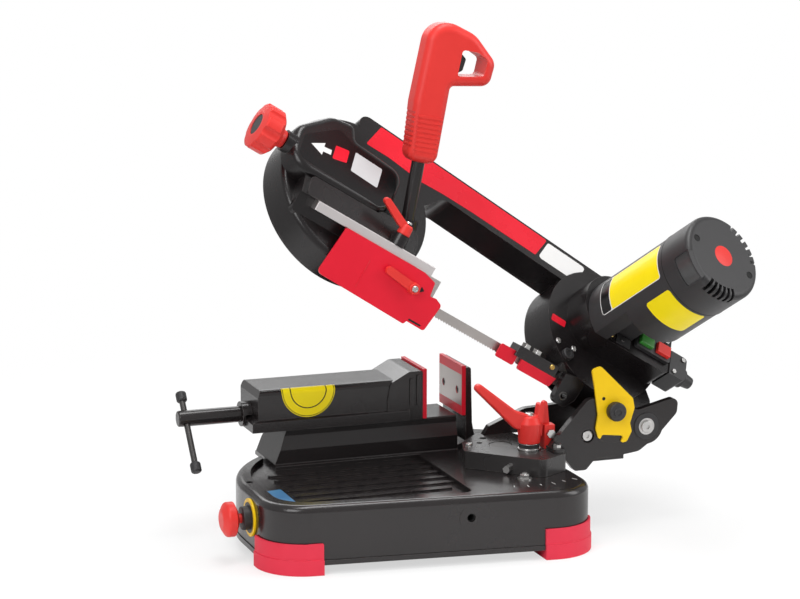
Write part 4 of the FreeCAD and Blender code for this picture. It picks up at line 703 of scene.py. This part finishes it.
for index, (x, y) in enumerate(cover_spots):
    screw("cover_screw_%d" % index, COVER_BACK @ at(x, y, 0), 4.4, bright_steel, "bow")


def bow_film(name, outline, face, thick, finish):
    """A plain film on a front face of the bow, with its back just under the face."""
    slab(name, LOOP, [outline], face - FILM_SUNK, face + thick, finish, "bow")


bow_film("arm_band", rounded([
    (-478.5, 169, 2), (-462, 208, 3), (-183.5, 185, 2.5), (-198, 152, 2.5), (-307, 159.6, 0),
    (-353, 161, 0), (-388, 160, 8), (-442, 168, 0),
]), ARM_FRONT, 0.2, red_film)
bow_film("arm_plate", rounded([
    (-181, 182.2, 4), (-116.5, 177, 4), (-129, 147, 4), (-193, 151.6, 4),
]), ARM_FRONT, 0.3, white_film)
bow_film("oval_film", rounded([
    (-582, 66, 12), (-450, 59, 16), (-437, 100, 24), (-446, 121, 10), (-511, 129, 8),
    (-533, 140, 10), (-580, 102, 14),
]), OVAL_FRONT, 0.2, black_film)
bow_film("oval_arrow", [
    (-568.4, 94), (-549.5, 106), (-549.8, 99.6), (-538.5, 101.2), (-538.5, 93.4), (-550, 92),
    (-550.6, 86),
], OVAL_FILM_FRONT, 0.08, white_print)
bow_film("oval_panel", rounded([
    (-505, 119, 2), (-463, 116.5, 2), (-465, 84.5, 2), (-506.5, 87.5, 2),
]), OVAL_FILM_FRONT, 0.08, silver_film)
bow_film("oval_patch", rounded([
    (-534, 112, 2), (-514, 115.5, 2), (-514.5, 95, 2), (-535.5, 89.5, 2),
]), OVAL_FILM_FRONT, 0.08, red_film)
bow_film("drum_patch", rounded([
    (-160, 73, 2), (-137.5, 72, 2), (-138.5, 61.5, 2), (-161, 62, 2),
]), DRUM_FRONT, 0.2, red_film)
spun(
    "drum_adjuster", LOOP @ at(-129, 22, DRUM_FRONT),
    [(0.0, 0.0), (8.0, 0.0), (8.0, 5.0), (7.0, 6.0), (4.0, 6.0), (3.4, 4.4), (0.0, 4.4)],
    black_plastic, "bow", 36, 0.35,
)
screw("drum_screw_a", LOOP @ at(-145, 36.5, DRUM_FRONT), 4.0, bright_steel, "bow")
screw("drum_screw_b", LOOP @ at(-119.5, 37.5, DRUM_FRONT), 4.0, bright_steel, "bow")

# Gear case and motor: a cast case with the motor standing on it, its moulded end cap, and a red end disc.
# The housing carries two plain yellow films, and the cap a framed pad and two sunk screws, drawn as near-black
# discs of painted shade.
# The switch frame and the inlet box with its gland are moulded in black and screwed on below.
MOTOR = LOOP @ at(-76, 85, 0)
MOTOR_RADIUS = 57.5
CAP_TOP = 270.0
LEDGE = 70.0
brass = finish_of(
    "brass", (0.5, 0.34, 0.1), (0.62, 0.43, 0.14), (0.24, 0.38), 700.0, 0.05, metal=1.0,
)
pad_plastic = finish_of(
    "pad_plastic", (0.045, 0.045, 0.046), (0.06, 0.06, 0.061), (0.2, 0.3), 1600.0, 0.06,
)
# The gear case also takes the darker black of painted shade.
dress("gear_case", bow_shaded_black, 0.001)
dress("motor_housing", black_plastic, 0.0008)
dress("motor_stator", dark_steel)
dress("motor_cap", black_plastic, 0.0008)
dress("motor_disc", red_plastic, 0.0004)
dress("switch_box", black_plastic, 0.0005)
dress("inlet_box", black_plastic, 0.0008)
dress("cable_gland", black_plastic, 0.0005)


def round_motor(a, level, z):
    """Wraps a flat film round the motor housing; its length is measured along the curve."""
    reach = MOTOR_RADIUS + z
    return (reach * math.cos(a / MOTOR_RADIUS), reach * math.sin(a / MOTOR_RADIUS), level)


def arc(degrees):
    """The length along the housing that an angle spans."""
    return math.radians(degrees) * MOTOR_RADIUS


WRAPS = [((1.0, 0.0, 0.0), [arc(angle) for angle in range(-206, -58, 3)])]


def motor_film(name, first, last, low, high, corner, thick, finish, foot=0.0):
    """A film with round corners on the motor housing."""
    outline = oblong(arc(first), low, arc(last), high, corner)
    film(name, MOTOR, [outline], thick, WRAPS, round_motor, finish, "bow", foot)


motor_film("motor_film_frame", -201, -147.5, 94.5, 209.5, 4, 0.14, white_print)
motor_film("motor_film_foot", -200, -148.5, 95.7, 112.5, 2.5, 0.22, black_film, 0.08)
motor_film("motor_film_top", -200, -148.5, 114, 208.3, 3, 0.22, yellow_film, 0.08)
motor_film("motor_film_low", -130, -64, 168, 213, 4.5, 0.16, yellow_film)
spun(
    "cap_seam", MOTOR @ at(0, 0, 217.1),
    [(57.0, 0.0), (58.45, 0.0), (58.45, 0.85), (57.0, 0.85), (57.0, 0.0)],
    gap_shade_black, "bow", 120,
)
rim = rounded([(arc(-160), 241, 3.5), (arc(-118), 241, 3.5), (arc(-118), 269.5, 2.5), (arc(-160), 269.5, 2.5)])
pad = rounded([(arc(-158), 243, 2.5), (arc(-120), 243, 2.5), (arc(-120), 267.5, 1.5), (arc(-158), 267.5, 1.5)])
film("cap_rim", MOTOR, [rim, pad], 2.9, WRAPS, round_motor, black_plastic, "bow", -6.0)
film("cap_pad", MOTOR, [pad], 1.7, WRAPS, round_motor, pad_plastic, "bow", -6.0)
for index, (x, y) in enumerate(((-44.5, 3.0), (44.0, -5.0))):
    spun(
        "cap_hole_%d" % index, MOTOR @ at(x, y, CAP_TOP),
        [(0.0, 0.02), (3.6, 0.02), (3.9, 0.5), (4.8, 0.35), (5.1, -0.3), (0.0, -0.3)],
        gap_shade_black, "bow", 32,
    )
spun(
    "cap_dot", MOTOR @ at(0, 0, CAP_TOP), [(0.0, 0.7), (12.6, 0.6), (14.2, 0.2), (14.4, -0.3), (0.0, -0.3)],
    red_plastic, "bow", 56,
)
slab(
    "ledge_plate", LOOP, [oblong(-83, 48.5, -60, 62.5, 2)], LEDGE - 0.2, LEDGE + 1.6,
    black_plastic, "bow", 0.0004,
)
screw("ledge_screw", LOOP @ at(-90.5, 56, LEDGE), 3.6, brass, "bow")
screw("plate_screw", LOOP @ at(-73, 56, LEDGE + 1.6), 2.8, dark_steel, "bow")

# Right blade guide and handle: the guide bolts to the drum with two studs and a brass screw.
# A bent steel tube carries the moulded red grip, which has eight low ribs at its foot.
HANDLE = BOW @ at(-404, 0, 77) @ turned(-20.41, "Y")
RIB_START, RIB_STEP = 93.4, 6.0
dress("right_guide_bracket", black_casting, 0.0006)
dress("right_guide_pads", ground_steel, 0.0004)
dress("right_guide_covers", red_paint, 0.0005)
dress("handle_tube", black_casting, 0.0003)
dress("handle_grip", red_plastic, 0.0015)
dress("bow_screws", bright_steel, 0.0003)
for index in range(8):
    level = RIB_START + RIB_STEP * index
    left = -20.4 - 5.0 * (level - 78.0) / 74.0
    rib = rounded([
        (left + 5.0, level - 0.7, 0.6), (left + 12.0, level - 1.7, 4.0), (13.0, level - 1.7, 1.2),
        (16.5, level, 0.6), (13.0, level + 1.7, 1.2), (left + 12.0, level + 1.7, 4.0),
        (left + 5.0, level + 0.7, 0.6),
    ])
    slab(
        "grip_rib_%d" % index, HANDLE @ FRONT, [rib], 17.2, 19.8,
        red_plastic, "bow", 0.0007,
    )
screw("guide_screw", BOW @ at(-141, -34, 6.6) @ FRONT, 3.6, brass, "bow")
screw("guide_stud_a", BOW @ at(-160, -20, 11), 4.0, bright_steel, "bow")
screw("guide_stud_b", BOW @ at(-178, -20, 11), 4.0, bright_steel, "bow")
spun(
    "lug_rim", BOW @ at(-112, -44, -19) @ FRONT,
    [(4.0, -0.5), (4.0, 0.6), (5.6, 0.6), (6.0, -0.5), (4.0, -0.5)],
    dark_steel, "bow", 36,
)

# Wheels, carriage and gears inside the bow: cast aluminium wheels on a sliding carriage.
# The shafts and their gears are machined from steel and run in the casting.
cast_aluminium = finish_of(
    "cast_aluminium", (0.42, 0.42, 0.43), (0.52, 0.52, 0.53), (0.38, 0.52), 500.0, 0.15, metal=1.0,
)
for name in ("idler_carriage", "idler_wheel", "drive_wheel"):
    dress(name, cast_aluminium, 0.0005)
for name in ("output_shaft", "counter_shaft", "motor_rotor"):
    dress(name, ground_steel)

# Tension knob: a moulded red star knob on the screw that draws the idler carriage.
# A black cap is pressed into its face.
dress("tension_knob", red_plastic, 0.0008)
dress("tension_cap", black_plastic, 0.0005)

# Left guide: a ground steel bar, the folded red guard, the guide and its two clamp levers.
# The guard has an inspection slot and a three-sided hole, drawn as dark films of painted shade, and a folded
# crease; a spring presses the guide.
GUARD_PLACE = BOW @ FRONT
GUARD_FRONT = 57.0
bar_steel = finish_of(
    "bar_steel", (0.66, 0.62, 0.615), (0.76, 0.72, 0.715), (0.3, 0.44), 700.0, 0.18, metal=1.0,
)
dress("guide_bar", bar_steel, 0.0006)
dress("blade_guard", red_paint, 0.0005)
dress("left_guide", ground_steel, 0.0006)
dress("clamp_lever", red_plastic, 0.0006)
dress("guard_lever", red_plastic, 0.0006)
# Painted shade: dark films on the guard face stand for its slot and hole.
slot_cut = oblong(-361, -32.4, -342, -30.0, 1.1)
hole_cut = rounded([(-366.5, 4.5, 0.8), (-360.5, 9.0, 0.8), (-366.5, 13.0, 0.8)])
for name, cut in (("guard_slot", slot_cut), ("guard_hole", hole_cut)):
    slab(
        name, GUARD_PLACE, [cut], GUARD_FRONT - FILM_SUNK, GUARD_FRONT + 0.12,
        gap_shade_black, "guide",
    )
slab(
    "guard_crease", GUARD_PLACE, [oblong(-445.6, -28, -444.4, 9, 0.4)], GUARD_FRONT - 0.5, GUARD_FRONT + 0.5,
    red_paint, "guide", 0.0003,
)
screw("guard_screw", BOW @ at(-377, -67.3, 5.5) @ FRONT, 4.2, bright_steel, "guard_clamp")
coils = [(0.0, 0.0)]
for coil in range(7):
    coils += [(4.2, 0.6 + 3.0 * coil), (4.6, 1.5 + 3.0 * coil), (3.4, 2.6 + 3.0 * coil)]
coils += [(0.0, 21.6)]
spun("guide_spring", BOW @ at(-350, -49.5, 8.5), coils, bright_steel, "guide", 28)
screw("clamp_screw", BOW @ at(-418, -43, 73.5), 4.5, bright_steel, "bar_lever")

# Keys: a black trigger in the grip, and green start and red stop buttons in the switch frame.
# All are plain mouldings that sit loose in their guides and spring back.
green_plastic = finish_of(
    "green_plastic", (0.03, 0.19, 0.025), (0.045, 0.25, 0.035), (0.3, 0.4), 1500.0, 0.08,
)
dress("trigger", black_plastic, 0.0008)
dress("start_button", green_plastic, 0.0008)
dress("stop_button", red_plastic, 0.0008)

# Lock plate and knob: a pressed plate, painted yellow, with a black shield on its back.
# A knurled black knob holds both on the stud of the bow.
LOCK_PLATE = BOW @ at(-54, -75, -3) @ FRONT
dress("lock_plate", yellow_paint, 0.0005)
dress("lock_knob", black_plastic, 0.0006)
slab(
    "lock_plate_shield", LOCK_PLATE,
    [rounded([(-6, -30, 4), (3, -43, 3), (16, -41, 4), (34, -30, 4), (31, -8, 4), (-8, -10, 4)])],
    -0.8, 0.05, black_casting, "hold_plate",
)
# Painted shade: a dark disc on the plate's face stands for its hole.
slab(
    "lock_plate_hole", LOCK_PLATE, [ring(-21.9, 6.5, 2.3)], 2.95, 3.08,
    gap_shade_black, "hold_plate",
)
spun(
    "knob_knurl", LOCK_PLATE, [(11.8, 5.5), (12.5, 6.2), (12.5, 13.4), (11.8, 14.1), (11.8, 5.5)],
    black_plastic, "hold_knob", 72, 0.6,
)
spun(
    "knob_face", LOCK_PLATE,
    [(0.0, 15.6), (3.2, 15.6), (3.6, 17.5), (5.6, 17.6), (6.2, 17.1), (6.2, 16.0), (0.0, 15.0)],
    black_plastic, "hold_knob", 36,
)
